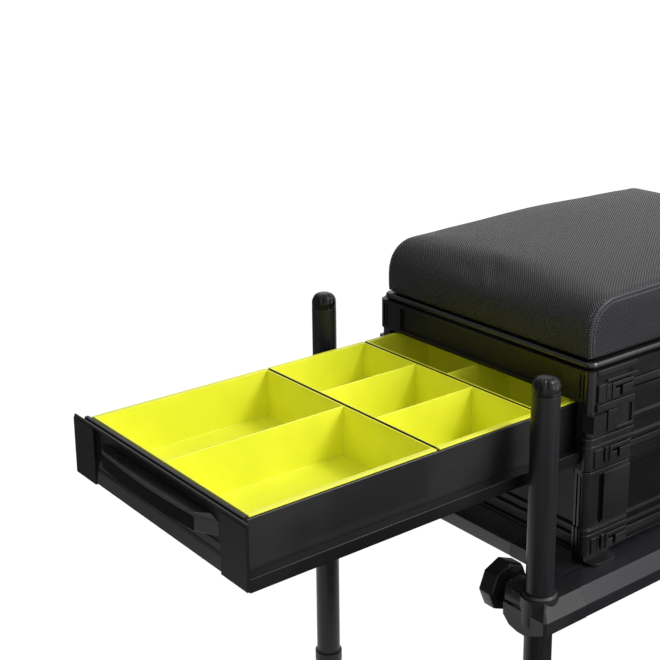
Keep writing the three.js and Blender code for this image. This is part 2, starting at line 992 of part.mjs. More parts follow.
// Drawer insert: thin tray with a rim and equal compartments across
function drawerInsert([fromY, toY], compartments) {
  const bodyHalfX = drawerHalfX - drawerWall - restGap;
  const rimHalfX = drawerHalfX - insertRimInset;
  const rimBottom = drawerTop + restGap;
  const rimTop = rimBottom + insertRimThickness;
  const bottom = rimTop - insertDepth;
  const body = joined(
    block([-bodyHalfX, bodyHalfX], [fromY, toY], [bottom, rimTop]),
    block([-rimHalfX, rimHalfX], [fromY, toY], [rimBottom, rimTop]),
  );
  const innerHalfX = bodyHalfX - insertWall;
  const room = (2 * innerHalfX - (compartments - 1) * insertWall) / compartments;
  const rooms = Array.from({ length: compartments }, (_, i) => {
    const left = -innerHalfX + i * (room + insertWall);
    return block(
      [left, left + room],
      [fromY + insertWall, toY - insertWall],
      [bottom + insertFloor, rimTop + overrun],
    );
  });
  return cut(body, ...rooms);
}

// Seat tray: rounded shell with recessed sides, grooves beside the corner blocks, and hinge knuckles
function seatTray() {
  const outer = sweptUp(roundedRectangle(halfX, halfY, cornerRadius), [seatBottom, seatTop]);
  const hollow = block(
    [seatWall - innerSeatX(), innerSeatX() - seatWall],
    [seatWall - innerSeatY(), innerSeatY() - seatWall],
    [seatBottom + seatFloor, seatTop + overrun],
  );
  const fieldZ = [seatBottom + rimHeight / 2, seatTop - rimHeight / 2];
  const sideEnd = halfY - seatBlockLength;
  const faceEnd = halfX - seatBlockWidth;
  const recesses = [-1, 1].flatMap((side) => [
    orderedBlock(
      [side * channelX, side * (halfX + overrun)],
      [-sideEnd, sideEnd],
      fieldZ,
    ),
    orderedBlock(
      [-faceEnd, faceEnd],
      [side * (halfY - seatRecess), side * (halfY + overrun)],
      fieldZ,
    ),
  ]);
  const slots = [-1, 1].flatMap((acrossX) =>
    [-1, 1].map((acrossY) => mirrored(latchSlot(seatLatchZ), acrossX, acrossY)),
  );
  const grooves = [-1, 1].flatMap((acrossX) =>
    [-1, 1].flatMap((acrossY) =>
      [faceGrooveAt, faceGrooveAt + faceGrooveStep].map((at) =>
        mirrored(
          block(
            [halfX - at - grooveWidth, halfX - at],
            [halfY - grooveDepth, halfY + overrun],
            fieldZ,
          ),
          acrossX,
          acrossY,
        ),
      ),
    ),
  );
  const tray = cut(outer, hollow, ...recesses, ...slots, ...grooves);
  const knuckles = [-1, 1].map((side) => mirrored(trayKnuckle(), side, 1));
  return joined(tray, ...knuckles);
}

function innerSeatX() {
  return halfX - seatRecess;
}

function innerSeatY() {
  return halfY - seatRecess;
}

function orderedBlock(acrossX, acrossY, acrossZ) {
  const ordered = (pair) => [Math.min(...pair), Math.max(...pair)];
  return block(ordered(acrossX), ordered(acrossY), ordered(acrossZ));
}

function mirrored(solid, acrossX, acrossY) {
  return solidOf(geometryOf(solid).scale(acrossX, acrossY, 1));
}

function knuckle([from, to]) {
  return cut(
    rodAcross(hingeRadius, [from, to], pinSides, hingeY, hingeZ),
    rodAcross(
      hingePinRadius + hingePinPlay,
      [from - overrun, to + overrun],
      pinSides,
      hingeY,
      hingeZ,
    ),
  );
}

function trayKnuckle() {
  const span = [hingeHalf + hingeSideGap, hingeHalf + hingeSideGap + hingeKnuckle];
  const web = block(span, [halfY - overrun, hingeY], [seatTop - hingeWebDrop, seatTop]);
  const pinRoom = rodAcross(
    hingePinRadius + hingePinPlay,
    [span[0] - overrun, span[1] + overrun],
    pinSides,
    hingeY,
    hingeZ,
  );
  return cut(joined(knuckle(span), web), pinRoom);
}

function hingePin() {
  const reach = hingeHalf + hingeSideGap + hingeKnuckle;
  return rodAcross(hingePinRadius, [-reach, reach], pinSides, hingeY, hingeZ);
}

// Lid: a plate with a rounded bead all round, and its knuckle behind
function lid() {
  const outline = roundedRectangle(
    lidHalfX - beadRadius,
    lidHalfY - beadRadius,
    lidCornerRadius - beadRadius,
  );
  const shape = new THREE.Shape(outline.map(([x, y]) => new THREE.Vector2(x, y)));
  const plate = new THREE.ExtrudeGeometry(shape, {
    depth: lidHeight - 2 * beadRadius,
    bevelThickness: beadRadius,
    bevelSize: beadRadius,
    bevelSegments: beadSteps,
  });
  const body = solidOf(plate.translate(0, 0, lidBottom + beadRadius));
  const web = block(
    [-hingeHalf, hingeHalf],
    [lidHalfY - beadRadius - overrun, hingeY],
    [lidBottom + restGap, lidBottom + restGap + hingeWeb],
  );
  const barrel = rodAcross(hingeRadius, [-hingeHalf, hingeHalf], pinSides, hingeY, hingeZ);
  const pinRoom = rodAcross(
    hingePinRadius + hingePinPlay,
    [-hingeHalf - overrun, hingeHalf + overrun],
    pinSides,
    hingeY,
    hingeZ,
  );
  return cut(joined(body, web, barrel), pinRoom);
}

// Cushion: a crowned pad, rounded along its front and rear, with softly domed end panels
function cushion() {
  const halfLength = lidHalfY - cushionInset;
  const halfWidth = lidHalfX - cushionInset;
  const bottom = lidTop + restGap;
  const height = cushionHeight - restGap;
  const radius = cushionEdgeRadius;
  const flatEnd = halfLength - radius;
  const rise = (y) => cushionCrown * Math.cos((Math.PI / 2) * (y / halfLength));
  const shoulder = bottom + height - cushionCrown - radius;
  const profile = [[-halfLength + cushionDraw, bottom]];
  profile.push([-halfLength + cushionDraw / 4, bottom + cushionDraw]);
  profile.push([-halfLength, (bottom + shoulder) / 2]);
  for (let i = 0; i <= cushionArcSteps; i++) {
    const angle = (Math.PI / 2) * (i / cushionArcSteps);
    const y = -flatEnd - radius * Math.cos(angle);
    profile.push([y, shoulder + radius * Math.sin(angle) + rise(y)]);
  }
  for (let i = 1; i < cushionFlatSteps; i++) {
    const y = -flatEnd + (2 * flatEnd * i) / cushionFlatSteps;
    profile.push([y, shoulder + radius + rise(y)]);
  }
  for (let i = cushionArcSteps; i >= 0; i--) {
    const angle = (Math.PI / 2) * (i / cushionArcSteps);
    const y = flatEnd + radius * Math.cos(angle);
    profile.push([y, shoulder + radius * Math.sin(angle) + rise(y)]);
  }
  profile.push([halfLength, (bottom + shoulder) / 2]);
  profile.push([halfLength - cushionDraw / 4, bottom + cushionDraw]);
  profile.push([halfLength - cushionDraw, bottom]);
  return cushionSkin(profile, halfWidth, bottom, halfLength);
}

// Rings of the profile across the width, drawn in round the ends, and closed by domed end panels
function cushionSkin(profile, halfWidth, bottom, halfLength) {
  const roundShares = [1, 0.7, 0.4, 0.15, 0];
  const panelShares = [0.55, 0.15];
  const crossShares = [-0.75, -0.45, -0.15, 0.15, 0.45, 0.75];
  const top = Math.max(...profile.map(([, z]) => z));
  const middleZ = (bottom + top) / 2;
  const edgeX = halfWidth - cushionEndDome;
  const drawn = (inset) =>
    profile.map(([y, z]) => {
      const lift = z === bottom ? 0 : 1;
      const narrow = 1 - inset / halfLength;
      return [y * narrow, z - (lift * inset * (z - bottom)) / (top - bottom)];
    });
  const shrunk = (share) =>
    drawn(cushionEndRound / 2).map(([y, z]) => [y * share, middleZ + (z - middleZ) * share]);
  const rightEnd = [
    ...roundShares.slice().reverse().map((share) => [
      edgeX - cushionEndRound * share,
      drawn((cushionEndRound / 2) * (1 - Math.sqrt(1 - (1 - share) ** 2))),
    ]),
  ];
  const rings = [];
  for (const [x, ring] of rightEnd) rings.push([-x, ring]);
  for (const share of crossShares) rings.push([(edgeX - cushionEndRound) * share, profile]);
  for (const [x, ring] of rightEnd.slice().reverse()) rings.push([x, ring]);
  const domeX = (share) => edgeX + cushionEndDome * (1 - share ** 2);
  const before = panelShares.slice().reverse().map((share) => [-domeX(share), shrunk(share)]);
  const after = panelShares.map((share) => [domeX(share), shrunk(share)]);
  return ringSolid([...before, ...rings, ...after]);
}

// A closed solid from rings of [y, z] points at growing x
function ringSolid(rings) {
  const count = rings[0][1].length;
  const positions = [];
  const faces = [];
  for (const [x, ring] of rings) {
    for (const [y, z] of ring) positions.push(x, y, z);
  }
  for (let r = 0; r + 1 < rings.length; r++) {
    for (let i = 0; i < count; i++) {
      const j = (i + 1) % count;
      const [a, b] = [r * count + i, r * count + j];
      faces.push(a, b, a + count, b, b + count, a + count);
    }
  }
  for (const [r, flip] of [
    [0, false],
    [rings.length - 1, true],
  ]) {
    const ring = rings[r][1];
    const outline = ring.map(([y, z]) => new THREE.Vector2(y, z));
    for (const [a, b, c] of THREE.ShapeUtils.triangulateShape(outline, [])) {
      const first = r * count;
      faces.push(...(flip ? [first + c, first + b, first + a] : [first + a, first + b, first + c]));
    }
  }
  const geometry = new THREE.BufferGeometry();
  geometry.setAttribute("position", new THREE.Float32BufferAttribute(positions, 3));
  geometry.setIndex(faces);
  return solidOf(geometry);
}

// Latch slide: a bar in the wall's channel with a tab on each corner
function latchSlide(middleZ) {
  const barInner = channelX + slideGap;
  const barOuter = barInner + latchBarDepth - slideGap;
  const tabInner = halfX + slideGap;
  const tabOuter = tabInner + latchTabThickness;
  const reach = halfY - latchTabAt;
  const barSpan = [middleZ - latchBarHeight / 2, middleZ + latchBarHeight / 2];
  const tabSpan = [middleZ - latchTabHeight / 2, middleZ + latchTabHeight / 2];
  const notchSpan = [middleZ - latchNotch / 2, middleZ + latchNotch / 2];
  const bar = block([barInner, barOuter], [-reach, reach], barSpan);
  const tab = block([tabInner, tabOuter], [reach - latchTabLength, reach], tabSpan);
  const root = block([barInner, tabInner + restGap], [reach - latchTabLength, reach], barSpan);
  const notchY = reach - latchTabLength / 3;
  const notch = block(
    [tabOuter - latchTabThickness / 2, tabOuter + overrun],
    [notchY - latchNotch, notchY],
    [notchSpan[0], tabSpan[1] + overrun],
  );
  const end = cut(joined(tab, root), notch);
  return joined(bar, end, mirrored(end, 1, -1));
}

function buildFrame(parent) {
  for (const [side, acrossX] of sides) {
    addPiece(mirroredGroup(parent, acrossX, 1), `rail_${side}`, sideRail(), materials.rail);
  }
  for (const [end, acrossY] of ends) {
    addPiece(mirroredGroup(parent, 1, acrossY), `rail_${end}`, crossRail(), materials.rail);
  }
  forEachCorner(parent, (group, corner) => {
    addPiece(group, `corner_casting_${corner}`, cornerCasting(), materials.casting);
    addPiece(group, `clamp_knob_${corner}`, clampKnob(), materials.gloss);
  });
}

function buildLegs(parent) {
  forEachCorner(parent, (group, corner) => {
    addPiece(group, `leg_tube_${corner}`, legTube(), materials.leg);
    addPiece(group, `leg_cap_${corner}`, legCap(), materials.gloss);
    addPiece(group, `inner_leg_${corner}`, innerLeg(), materials.innerLeg);
    addPiece(group, `foot_${corner}`, foot(), materials.rubber);
  });
}

function buildBase(parent) {
  forEachCorner(parent, (group, corner) => {
    addPiece(group, `base_corner_${corner}`, baseCorner(), materials.plastic);
  });
  for (const [side, acrossX] of sides) {
    const group = mirroredGroup(parent, acrossX, 1);
    addPiece(group, `base_wall_${side}`, baseSideWall(), materials.plastic);
    addPiece(group, `latch_base_${side}`, latchSlide(baseLatchZ), materials.plastic);
  }
  for (const [end, acrossY] of ends) {
    addPiece(mirroredGroup(parent, 1, acrossY), `base_wall_${end}`, baseEndWall(), materials.plastic);
  }
  addPiece(parent, "base_floor", baseFloor(), materials.plastic);
}

function buildDrawerUnit(parent) {
  for (const [side, acrossX] of sides) {
    const group = mirroredGroup(parent, acrossX, 1);
    addPiece(group, `unit_side_${side}`, unitSide(), materials.plastic);
    addPiece(group, `latch_unit_${side}`, latchSlide(unitLatchZ), materials.plastic);
  }
  addPiece(parent, "unit_floor", unitFloor(), materials.plastic);
  addPiece(parent, "unit_rear", unitRear(), materials.plastic);
}

function buildDrawer(parent) {
  const drawer = new THREE.Group();
  drawer.position.y = -drawerTravel;
  parent.add(drawer);
  addPiece(drawer, "drawer_shell", drawerShell(), materials.drawer);
  addPiece(drawer, "drawer_front", drawerFront(), materials.drawer);
  addPiece(drawer, "drawer_handle", drawerHandle(), materials.drawer);
  for (const [side, acrossX] of sides) {
    addPiece(mirroredGroup(drawer, acrossX, 1), `runner_${side}`, drawerRunner(), materials.drawer);
  }
  const end = drawerRearY - drawerEndWall - restGap;
  let start = drawerFrontY + drawerEndWall + restGap;
  const room = end - start - 2 * insertGap;
  ["insert_front", "insert_middle", "insert_rear"].forEach((name, i) => {
    const span = [start, start + room * insertLengthShares[i]];
    addPiece(drawer, name, drawerInsert(span, insertCompartments[i]), materials.lime);
    start = span[1] + insertGap;
  });
}

function buildSeat(parent) {
  addPiece(parent, "seat_tray", seatTray(), materials.plastic);
  addPiece(parent, "hinge_pin", hingePin(), materials.steel);
  addPiece(parent, "seat_lid", lid(), materials.gloss);
  addPiece(parent, "seat_cushion", cushion(), materials.leatherette);
  for (const [side, acrossX] of sides) {
    const group = mirroredGroup(parent, acrossX, 1);
    addPiece(group, `latch_seat_${side}`, latchSlide(seatLatchZ), materials.plastic);
  }
}

const seatBox = new THREE.Group();
seatBox.name = "fishing_seat_box";
const rearMost = legY + Math.max(footRadius, knobRadius);
const frontMost = handleFrontY - drawerTravel;
seatBox.position.y = -(rearMost + frontMost) / 2;
buildFrame(seatBox);
buildLegs(seatBox);
buildBase(seatBox);
buildDrawerUnit(seatBox);
buildDrawer(seatBox);
buildSeat(seatBox);

export default seatBox;
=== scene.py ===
"""Fishing seat box with an open drawer on a four-legged frame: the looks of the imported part."""

import json
import math

import bmesh
import bpy
from mathutils import Matrix, Vector
from mathutils.bvhtree import BVHTree

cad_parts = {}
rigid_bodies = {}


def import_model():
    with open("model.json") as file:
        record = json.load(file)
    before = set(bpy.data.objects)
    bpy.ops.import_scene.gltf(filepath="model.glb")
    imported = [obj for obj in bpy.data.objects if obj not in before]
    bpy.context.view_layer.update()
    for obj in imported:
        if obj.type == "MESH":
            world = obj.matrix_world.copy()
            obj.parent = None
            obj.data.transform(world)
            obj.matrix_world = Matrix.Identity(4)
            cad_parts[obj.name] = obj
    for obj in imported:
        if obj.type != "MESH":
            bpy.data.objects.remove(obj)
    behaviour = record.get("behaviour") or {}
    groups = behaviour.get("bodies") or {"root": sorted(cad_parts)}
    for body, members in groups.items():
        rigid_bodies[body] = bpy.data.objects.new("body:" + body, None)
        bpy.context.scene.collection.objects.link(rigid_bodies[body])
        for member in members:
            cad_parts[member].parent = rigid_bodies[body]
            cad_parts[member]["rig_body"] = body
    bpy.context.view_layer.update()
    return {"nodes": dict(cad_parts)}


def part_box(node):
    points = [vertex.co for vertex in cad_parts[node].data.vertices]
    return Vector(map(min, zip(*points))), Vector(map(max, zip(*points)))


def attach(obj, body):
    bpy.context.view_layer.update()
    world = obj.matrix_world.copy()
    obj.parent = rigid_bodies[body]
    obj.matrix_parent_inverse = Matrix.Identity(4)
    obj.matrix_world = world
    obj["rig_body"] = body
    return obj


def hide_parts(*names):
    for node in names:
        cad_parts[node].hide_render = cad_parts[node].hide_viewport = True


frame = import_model()

bl_info = {
    "name": "Fishing seat box",
    "version": (1, 0, 0),
    "blender": (4, 5, 0),
    "location": "3D View > Sidebar > Seat box",
    "description": "Dresses the packed seat box with its mouldings, cushion, finishes and stage",
    "category": "Object",
}

MM = 0.001
floor_low, floor_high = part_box("base_floor")
BOX_Y = (floor_low.y + floor_high.y) / 2
SIDES = {"left": -1, "right": 1}
ENDS = {"front": -1, "rear": 1}
CORNERS = [(f"{end}_{side}", SIDES[side], ENDS[end]) for end in ENDS for side in SIDES]
SHARP = math.radians(48)

# Pieces are drawn in millimetres from the middle of the box, with heights above the ground.
FROM_BOX = Matrix.Translation((0, BOX_Y, 0)) @ Matrix.Scale(MM, 4)
HALF_X, HALF_Y = 174, 250
LEG_X, LEG_Y = 184, 330
CORNER_RADIUS = 8
CORNERS_START = 160


def shade(red, green, blue):
    """A colour as a picture writes it, turned into light."""
    return tuple(
        v / 12.92 if v <= 0.04045 else ((v + 0.055) / 1.055) ** 2.4
        for v in (red / 255, green / 255, blue / 255)
    )


# ---------------------------------------------------------------- settings


def colour_setting(label, about, value):
    return bpy.props.FloatVectorProperty(
        name=label, description=about, subtype="COLOR", size=3, min=0, max=1, default=value
    )


def length_setting(label, about, millimetres):
    return bpy.props.FloatProperty(
        name=label,
        description=about,
        subtype="DISTANCE",
        unit="LENGTH",
        min=0,
        precision=4,
        default=millimetres * MM,
    )


class SeatBoxColours(bpy.types.PropertyGroup):
    """Colours of the finishes."""

    rail: colour_setting("Rail", "Coated aluminium of the frame's rails", shade(30, 29, 34))
    # The cross rails are lighter than the side rails: a painted reflection on their front faces.
    cross: colour_setting("Cross rail", "Coated bars between the corners", shade(66, 66, 68))
    casting: colour_setting("Casting", "Moulded corners of the frame", shade(24, 24, 26))
    leg: colour_setting("Leg", "Coated leg tubes", shade(22, 22, 24))
    plastic: colour_setting("Box plastic", "Base, drawer unit and seat tray", shade(17, 17, 17))
    # A near-black that stands in for shade: painted shade in the latches' slots, the column
    # grooves, the gaps between the inserts and on the handle's front.
    painted_shade: colour_setting("Painted shade", "Slots of the latches and corner columns", shade(5, 5, 5))
    drawer: colour_setting("Drawer plastic", "Drawer shell, panel and handle", shade(16, 16, 17))
    gloss: colour_setting("Gloss plastic", "Knobs, leg caps and the lid's bead", shade(14, 14, 15))
    lime: colour_setting("Insert plastic", "Drawer inserts", shade(239, 242, 58))
    leather: colour_setting("Leatherette", "Woven cushion cover", shade(14, 14, 18))
    # The stitches are lighter than the cover: partly the thread's own tone, partly painted
    # highlight along the seam's ridge.
    thread: colour_setting("Thread", "Welt and stitching of the cushion", shade(88, 88, 94))
    bare: colour_setting("Bare metal", "Inner legs and the hinge pin", shade(176, 178, 181))
    rubber: colour_setting("Rubber", "Feet", shade(20, 20, 20))
    dust: colour_setting("Dust", "Fine dust on faces that look up", shade(120, 118, 114))


class SeatBoxSizes(bpy.types.PropertyGroup):
    """Sizes of the details that are drawn here."""

    soft_edge: length_setting("Soft edge", "Rounding of moulded edges", 0.7)
    rail_edge: length_setting("Rail edge", "Rounding of the rails' edges", 0.9)
    knob_edge: length_setting("Knob edge", "Rounding of the knobs' facets", 1.6)
    weave_pitch: length_setting("Weave pitch", "Distance between the cover's threads", 2.6)
    piping: length_setting("Piping radius", "Radius of the welt in the cushion's seams", 1.9)
    stitch: length_setting("Stitch length", "Length of one stitch", 3.6)
    swell: length_setting("Cushion swell", "Most that the filling moves the cover", 6.0)
    voxel: length_setting("Cover grid", "Grid of the cover before it is filled", 5.0)
    flute_depth: length_setting("Cap flute", "Depth of the flutes in the leg caps", 1.3)


def sizes():
    return bpy.context.scene.seat_box_sizes


def colours():
    return bpy.context.scene.seat_box_colours


# ---------------------------------------------------------------- shader groups


def new_group(name, inputs, outputs):
    """An empty shader node group with named sockets, and its input and output nodes."""
    group = bpy.data.node_groups.new(name, "ShaderNodeTree")
    for label, kind, value in inputs:
        socket = group.interface.new_socket(label, in_out="INPUT", socket_type=kind)
        if value is not None:
            socket.default_value = value
    for label, kind in outputs:
        group.interface.new_socket(label, in_out="OUTPUT", socket_type=kind)
    return group, group.nodes.new("NodeGroupInput"), group.nodes.new("NodeGroupOutput")


def calculate(tree, operation, first, second=None, clamp=False):
    """A Math node fed by sockets or numbers; returns its output."""
    node = tree.nodes.new("ShaderNodeMath")
    node.operation = operation
    node.use_clamp = clamp
    for slot, value in enumerate((first, second)):
        if value is None:
            continue
        if isinstance(value, (int, float)):
            node.inputs[slot].default_value = value
        else:
            tree.links.new(value, node.inputs[slot])
    return node.outputs[0]


def ranged(tree, value, low, high, to_low=0.0, to_high=1.0):
    """A smooth Map Range of a socket; returns its output."""
    node = tree.nodes.new("ShaderNodeMapRange")
    node.interpolation_type = "SMOOTHSTEP"
    tree.links.new(value, node.inputs["Value"])
    for label, number in (
        ("From Min", low),
        ("From Max", high),
        ("To Min", to_low),
        ("To Max", to_high),
    ):
        node.inputs[label].default_value = number
    return node.outputs["Result"]


def clouds(tree, scale, detail=3.0, vector=None):
    """A noise texture on the object's own coordinates, or on a given vector; returns its node."""
    node = tree.nodes.new("ShaderNodeTexNoise")
    node.inputs["Detail"].default_value = detail
    if vector is None:
        vector = tree.nodes.new("ShaderNodeTexCoord").outputs["Object"]
    tree.links.new(vector, node.inputs["Vector"])
    if isinstance(scale, (int, float)):
        node.inputs["Scale"].default_value = scale
    else:
        tree.links.new(scale, node.inputs["Scale"])
    return node


def moulded_grain_group():
    """Fine pitted grain of moulded plastic, and a slow change of its polish."""
    group, inside, out = new_group(
        "Moulded grain",
        [("Scale", "NodeSocketFloat", 900.0), ("Polish scale", "NodeSocketFloat", 9.0)],
        [("Height", "NodeSocketFloat"), ("Polish", "NodeSocketFloat")],
    )
    pits = clouds(group, inside.outputs["Scale"], 2.0)
    slow = clouds(group, inside.outputs["Polish scale"], 4.0)
    group.links.new(pits.outputs["Fac"], out.inputs["Height"])
    group.links.new(ranged(group, slow.outputs["Fac"], 0.32, 0.68), out.inputs["Polish"])
    return group


def edge_rub_and_glint_group():
    """A mask of outer edges, broken up by noise: rubbed wear, and also painted highlight where the
    edges catch light.
    """
    group, inside, out = new_group(
        "Edge rub and glint",
        [("Reach", "NodeSocketFloat", 0.0012), ("Amount", "NodeSocketFloat", 1.0)],
        [("Mask", "NodeSocketFloat")],
    )
    rounded = group.nodes.new("ShaderNodeBevel")
    rounded.samples = 4
    group.links.new(inside.outputs["Reach"], rounded.inputs["Radius"])
    geometry = group.nodes.new("ShaderNodeNewGeometry")
    dot = group.nodes.new("ShaderNodeVectorMath")
    dot.operation = "DOT_PRODUCT"
    group.links.new(rounded.outputs["Normal"], dot.inputs[0])
    group.links.new(geometry.outputs["Normal"], dot.inputs[1])
    bend = ranged(group, dot.outputs["Value"], 0.97, 0.8)
    broken = ranged(group, clouds(group, 55.0, 6.0).outputs["Fac"], 0.36, 0.62)
    rub_and_glint_mask = calculate(group, "MULTIPLY", bend, broken)
    rub_and_glint_mask = calculate(group, "MULTIPLY", rub_and_glint_mask, inside.outputs["Amount"], clamp=True)
    group.links.new(rub_and_glint_mask, out.inputs["Mask"])
    return group


def dust_group():
    """A mask of dust that lies on faces looking up."""
    group, inside, out = new_group(
        "Settled dust", [("Amount", "NodeSocketFloat", 0.1)], [("Mask", "NodeSocketFloat")]
    )
    geometry = group.nodes.new("ShaderNodeNewGeometry")
    split = group.nodes.new("ShaderNodeSeparateXYZ")
    group.links.new(geometry.outputs["Normal"], split.inputs[0])
    upward = ranged(group, split.outputs["Z"], 0.55, 0.98)
    patches = ranged(group, clouds(group, 26.0, 7.0).outputs["Fac"], 0.35, 0.75)
    lying = calculate(group, "MULTIPLY", upward, patches)
    lying = calculate(group, "MULTIPLY", lying, inside.outputs["Amount"], clamp=True)
    group.links.new(lying, out.inputs["Mask"])
    return group


def drawn_lines_group():
    """Faint lines that run along a drawn tube or rail."""
    group, inside, out = new_group(
        "Drawn lines", [("Direction", "NodeSocketVector", None)], [("Lines", "NodeSocketFloat")]
    )
    place = group.nodes.new("ShaderNodeTexCoord")
    stretch = group.nodes.new("ShaderNodeVectorMath")
    stretch.operation = "MULTIPLY"
    group.links.new(place.outputs["Object"], stretch.inputs[0])
    group.links.new(inside.outputs["Direction"], stretch.inputs[1])
    lines = clouds(group, 1.0, 5.0, stretch.outputs["Vector"])
    group.links.new(ranged(group, lines.outputs["Fac"], 0.3, 0.7), out.inputs["Lines"])
    return group


def weave_group():
    """Diagonal weave of the cover: rounded threads that cross, drawn on the cover's own grid. Its
    Shade is painted shade in the hollows between the threads and painted light on their crowns.
    """
    group, inside, out = new_group(
        "Cover weave",
        [("Pitch", "NodeSocketFloat", 0.0026)],
        [("Height", "NodeSocketFloat"), ("Shade", "NodeSocketFloat")],
    )
    grid = group.nodes.new("ShaderNodeAttribute")
    grid.attribute_name = "cover_grid"
    split = group.nodes.new("ShaderNodeSeparateXYZ")
    group.links.new(grid.outputs["Vector"], split.inputs[0])
    turns = calculate(group, "DIVIDE", 2 * math.pi, inside.outputs["Pitch"])
    threads = calculate(group, "SINE", calculate(group, "MULTIPLY", split.outputs["X"], turns))
    crossing = calculate(group, "SINE", calculate(group, "MULTIPLY", split.outputs["Y"], turns))
    both = calculate(group, "ADD", threads, calculate(group, "MULTIPLY", crossing, 0.45))
    height = ranged(group, both, -1.45, 1.45)
    group.links.new(height, out.inputs["Height"])
    group.links.new(ranged(group, height, 0.1, 0.65), out.inputs["Shade"])
    return group


def shader_groups():
    """The shared effects, built once."""
    makers = {
        "Moulded grain": moulded_grain_group,
        "Edge rub and glint": edge_rub_and_glint_group,
        "Settled dust": dust_group,
        "Drawn lines": drawn_lines_group,
        "Cover weave": weave_group,
    }
    return {name: bpy.data.node_groups.get(name) or make() for name, make in makers.items()}


# ---------------------------------------------------------------- materials


class Finish:
    """A material under construction: its tree, its shader and a few ways to add effects."""

    def __init__(self, name, colour, roughness, metallic=0.0, specular=0.5):
        self.material = bpy.data.materials.new(name)
        self.material.use_nodes = True
        self.tree = self.material.node_tree
        self.tree.nodes.clear()
        self.shader = self.tree.nodes.new("ShaderNodeBsdfPrincipled")
        output = self.tree.nodes.new("ShaderNodeOutputMaterial")
        self.tree.links.new(self.shader.outputs["BSDF"], output.inputs["Surface"])
        self.shader.inputs["Base Color"].default_value = (*colour, 1)
        self.shader.inputs["Roughness"].default_value = roughness
        self.shader.inputs["Metallic"].default_value = metallic
        self.shader.inputs["Specular IOR Level"].default_value = specular
        self.colour = None
        self.plain = colour

    def effect(self, name, **values):
        """Places a shared group with its own values; returns the node."""
        node = self.tree.nodes.new("ShaderNodeGroup")
        node.node_tree = shader_groups()[name]
        for label, value in values.items():
            node.inputs[label.replace("_", " ")].default_value = value
        return node

    def tint(self, colour, mask):
        """Mixes a colour over the base where the mask is."""
        mix = self.tree.nodes.new("ShaderNodeMix")
        mix.data_type = "RGBA"
        if self.colour is None:
            mix.inputs["A"].default_value = (*self.plain, 1)
        else:
            self.tree.links.new(self.colour, mix.inputs["A"])
        mix.inputs["B"].default_value = (*colour, 1)
        self.tree.links.new(mask, mix.inputs["Factor"])
        self.colour = mix.outputs["Result"]
        self.tree.links.new(self.colour, self.shader.inputs["Base Color"])

    def polish(self, value, low, high):
        """Lets the roughness run between two values."""
        self.tree.links.new(
            ranged(self.tree, value, 0.0, 1.0, low, high), self.shader.inputs["Roughness"]
        )

    def relief(self, height, depth):
        """Bumps the surface by a height."""
        bump = self.tree.nodes.new("ShaderNodeBump")
        bump.inputs["Strength"].default_value = 1.0
        bump.inputs["Distance"].default_value = depth
        self.tree.links.new(height, bump.inputs["Height"])
        self.tree.links.new(bump.outputs["Normal"], self.shader.inputs["Normal"])


def lighter(colour, by):
    return tuple(min(1.0, v * by + 0.004 * (by - 1)) for v in colour)


def moulded(name, colour, roughness, specular, grain=900.0, depth=0.00006, dust=0.02, rub_and_glint=1.0):
    """Moulded plastic: pitted grain, uneven polish, lighter edges that are partly rubbed wear and
    partly painted highlight, and a little dust.
    """
    made = Finish(name, colour, roughness[0], specular=specular)
    pitted = made.effect("Moulded grain", Scale=grain)
    made.polish(pitted.outputs["Polish"], *roughness)
    made.tint(lighter(colour, 1.35), pitted.outputs["Polish"])
    rubbed_and_lit = made.effect("Edge rub and glint", Reach=0.0011, Amount=0.55 * rub_and_glint)
    # Lighter edges: partly rubbed wear, partly painted highlight.
    made.tint(lighter(colour, 3.2), rubbed_and_lit.outputs["Mask"])
    lying = made.effect("Settled dust", Amount=dust)
    made.tint(tuple(colours().dust), lying.outputs["Mask"])
    made.relief(pitted.outputs["Height"], depth)
    return made.material


def coated_metal(name, colour, roughness, direction, metallic, specular=0.5):
    """Coated aluminium with faint drawn lines, and lighter edges that are partly rubbed wear and
    partly painted highlight.
    """
    made = Finish(name, colour, roughness[0], metallic=metallic, specular=specular)
    lines = made.effect("Drawn lines", Direction=direction)
    made.polish(lines.outputs["Lines"], *roughness)
    made.tint(lighter(colour, 1.4), lines.outputs["Lines"])
    rubbed_and_lit = made.effect("Edge rub and glint", Reach=0.0014, Amount=0.8)
    # Lighter edges: partly rubbed wear, partly painted highlight.
    made.tint(lighter(colour, 5.0), rubbed_and_lit.outputs["Mask"])
    grain = made.effect("Moulded grain", Scale=1400.0)
    made.relief(grain.outputs["Height"], 0.00003)
    return made.material


def bare_metal(name, colour, roughness, direction):
    """Bare drawn metal."""
    made = Finish(name, colour, roughness[0], metallic=1.0)
    lines = made.effect("Drawn lines", Direction=direction)
    made.polish(lines.outputs["Lines"], *roughness)
    made.tint(tuple(v * 0.8 for v in colour), lines.outputs["Lines"])
    made.relief(lines.outputs["Lines"], 0.00002)
    return made.material


def leatherette(name, colour):
    """Woven leatherette of the cushion."""
    made = Finish(name, colour, 0.5, specular=0.42)
    weave = made.effect("Cover weave", Pitch=sizes().weave_pitch)
    # Painted light and shade of the weave: crowns of the threads lighter, hollows darker.
    made.tint(lighter(colour, 2.0), weave.outputs["Shade"])
    grain = made.effect("Moulded grain", Scale=500.0)
    made.tint(lighter(colour, 1.5), calculate(made.tree, "MULTIPLY", grain.outputs["Polish"], 0.3))
    made.polish(weave.outputs["Shade"], 0.75, 0.36)
    made.relief(weave.outputs["Height"], 0.0006)
    return made.material


# How often the noise of the drawn lines repeats in a metre, along each axis.
ALONG_X = (9, 700, 700)
ALONG_Y = (700, 9, 700)
ALONG_Z = (900, 900, 12)
PIN_ALONG_X = (12, 900, 900)

# Scale and depth of a fine grain, and the dust and the edge rub and painted edge highlight of a
# piece that has none.
SMOOTH = (1200.0, 0.00001)
CLEAN = (0.0, 0.0)

made_finishes = {}


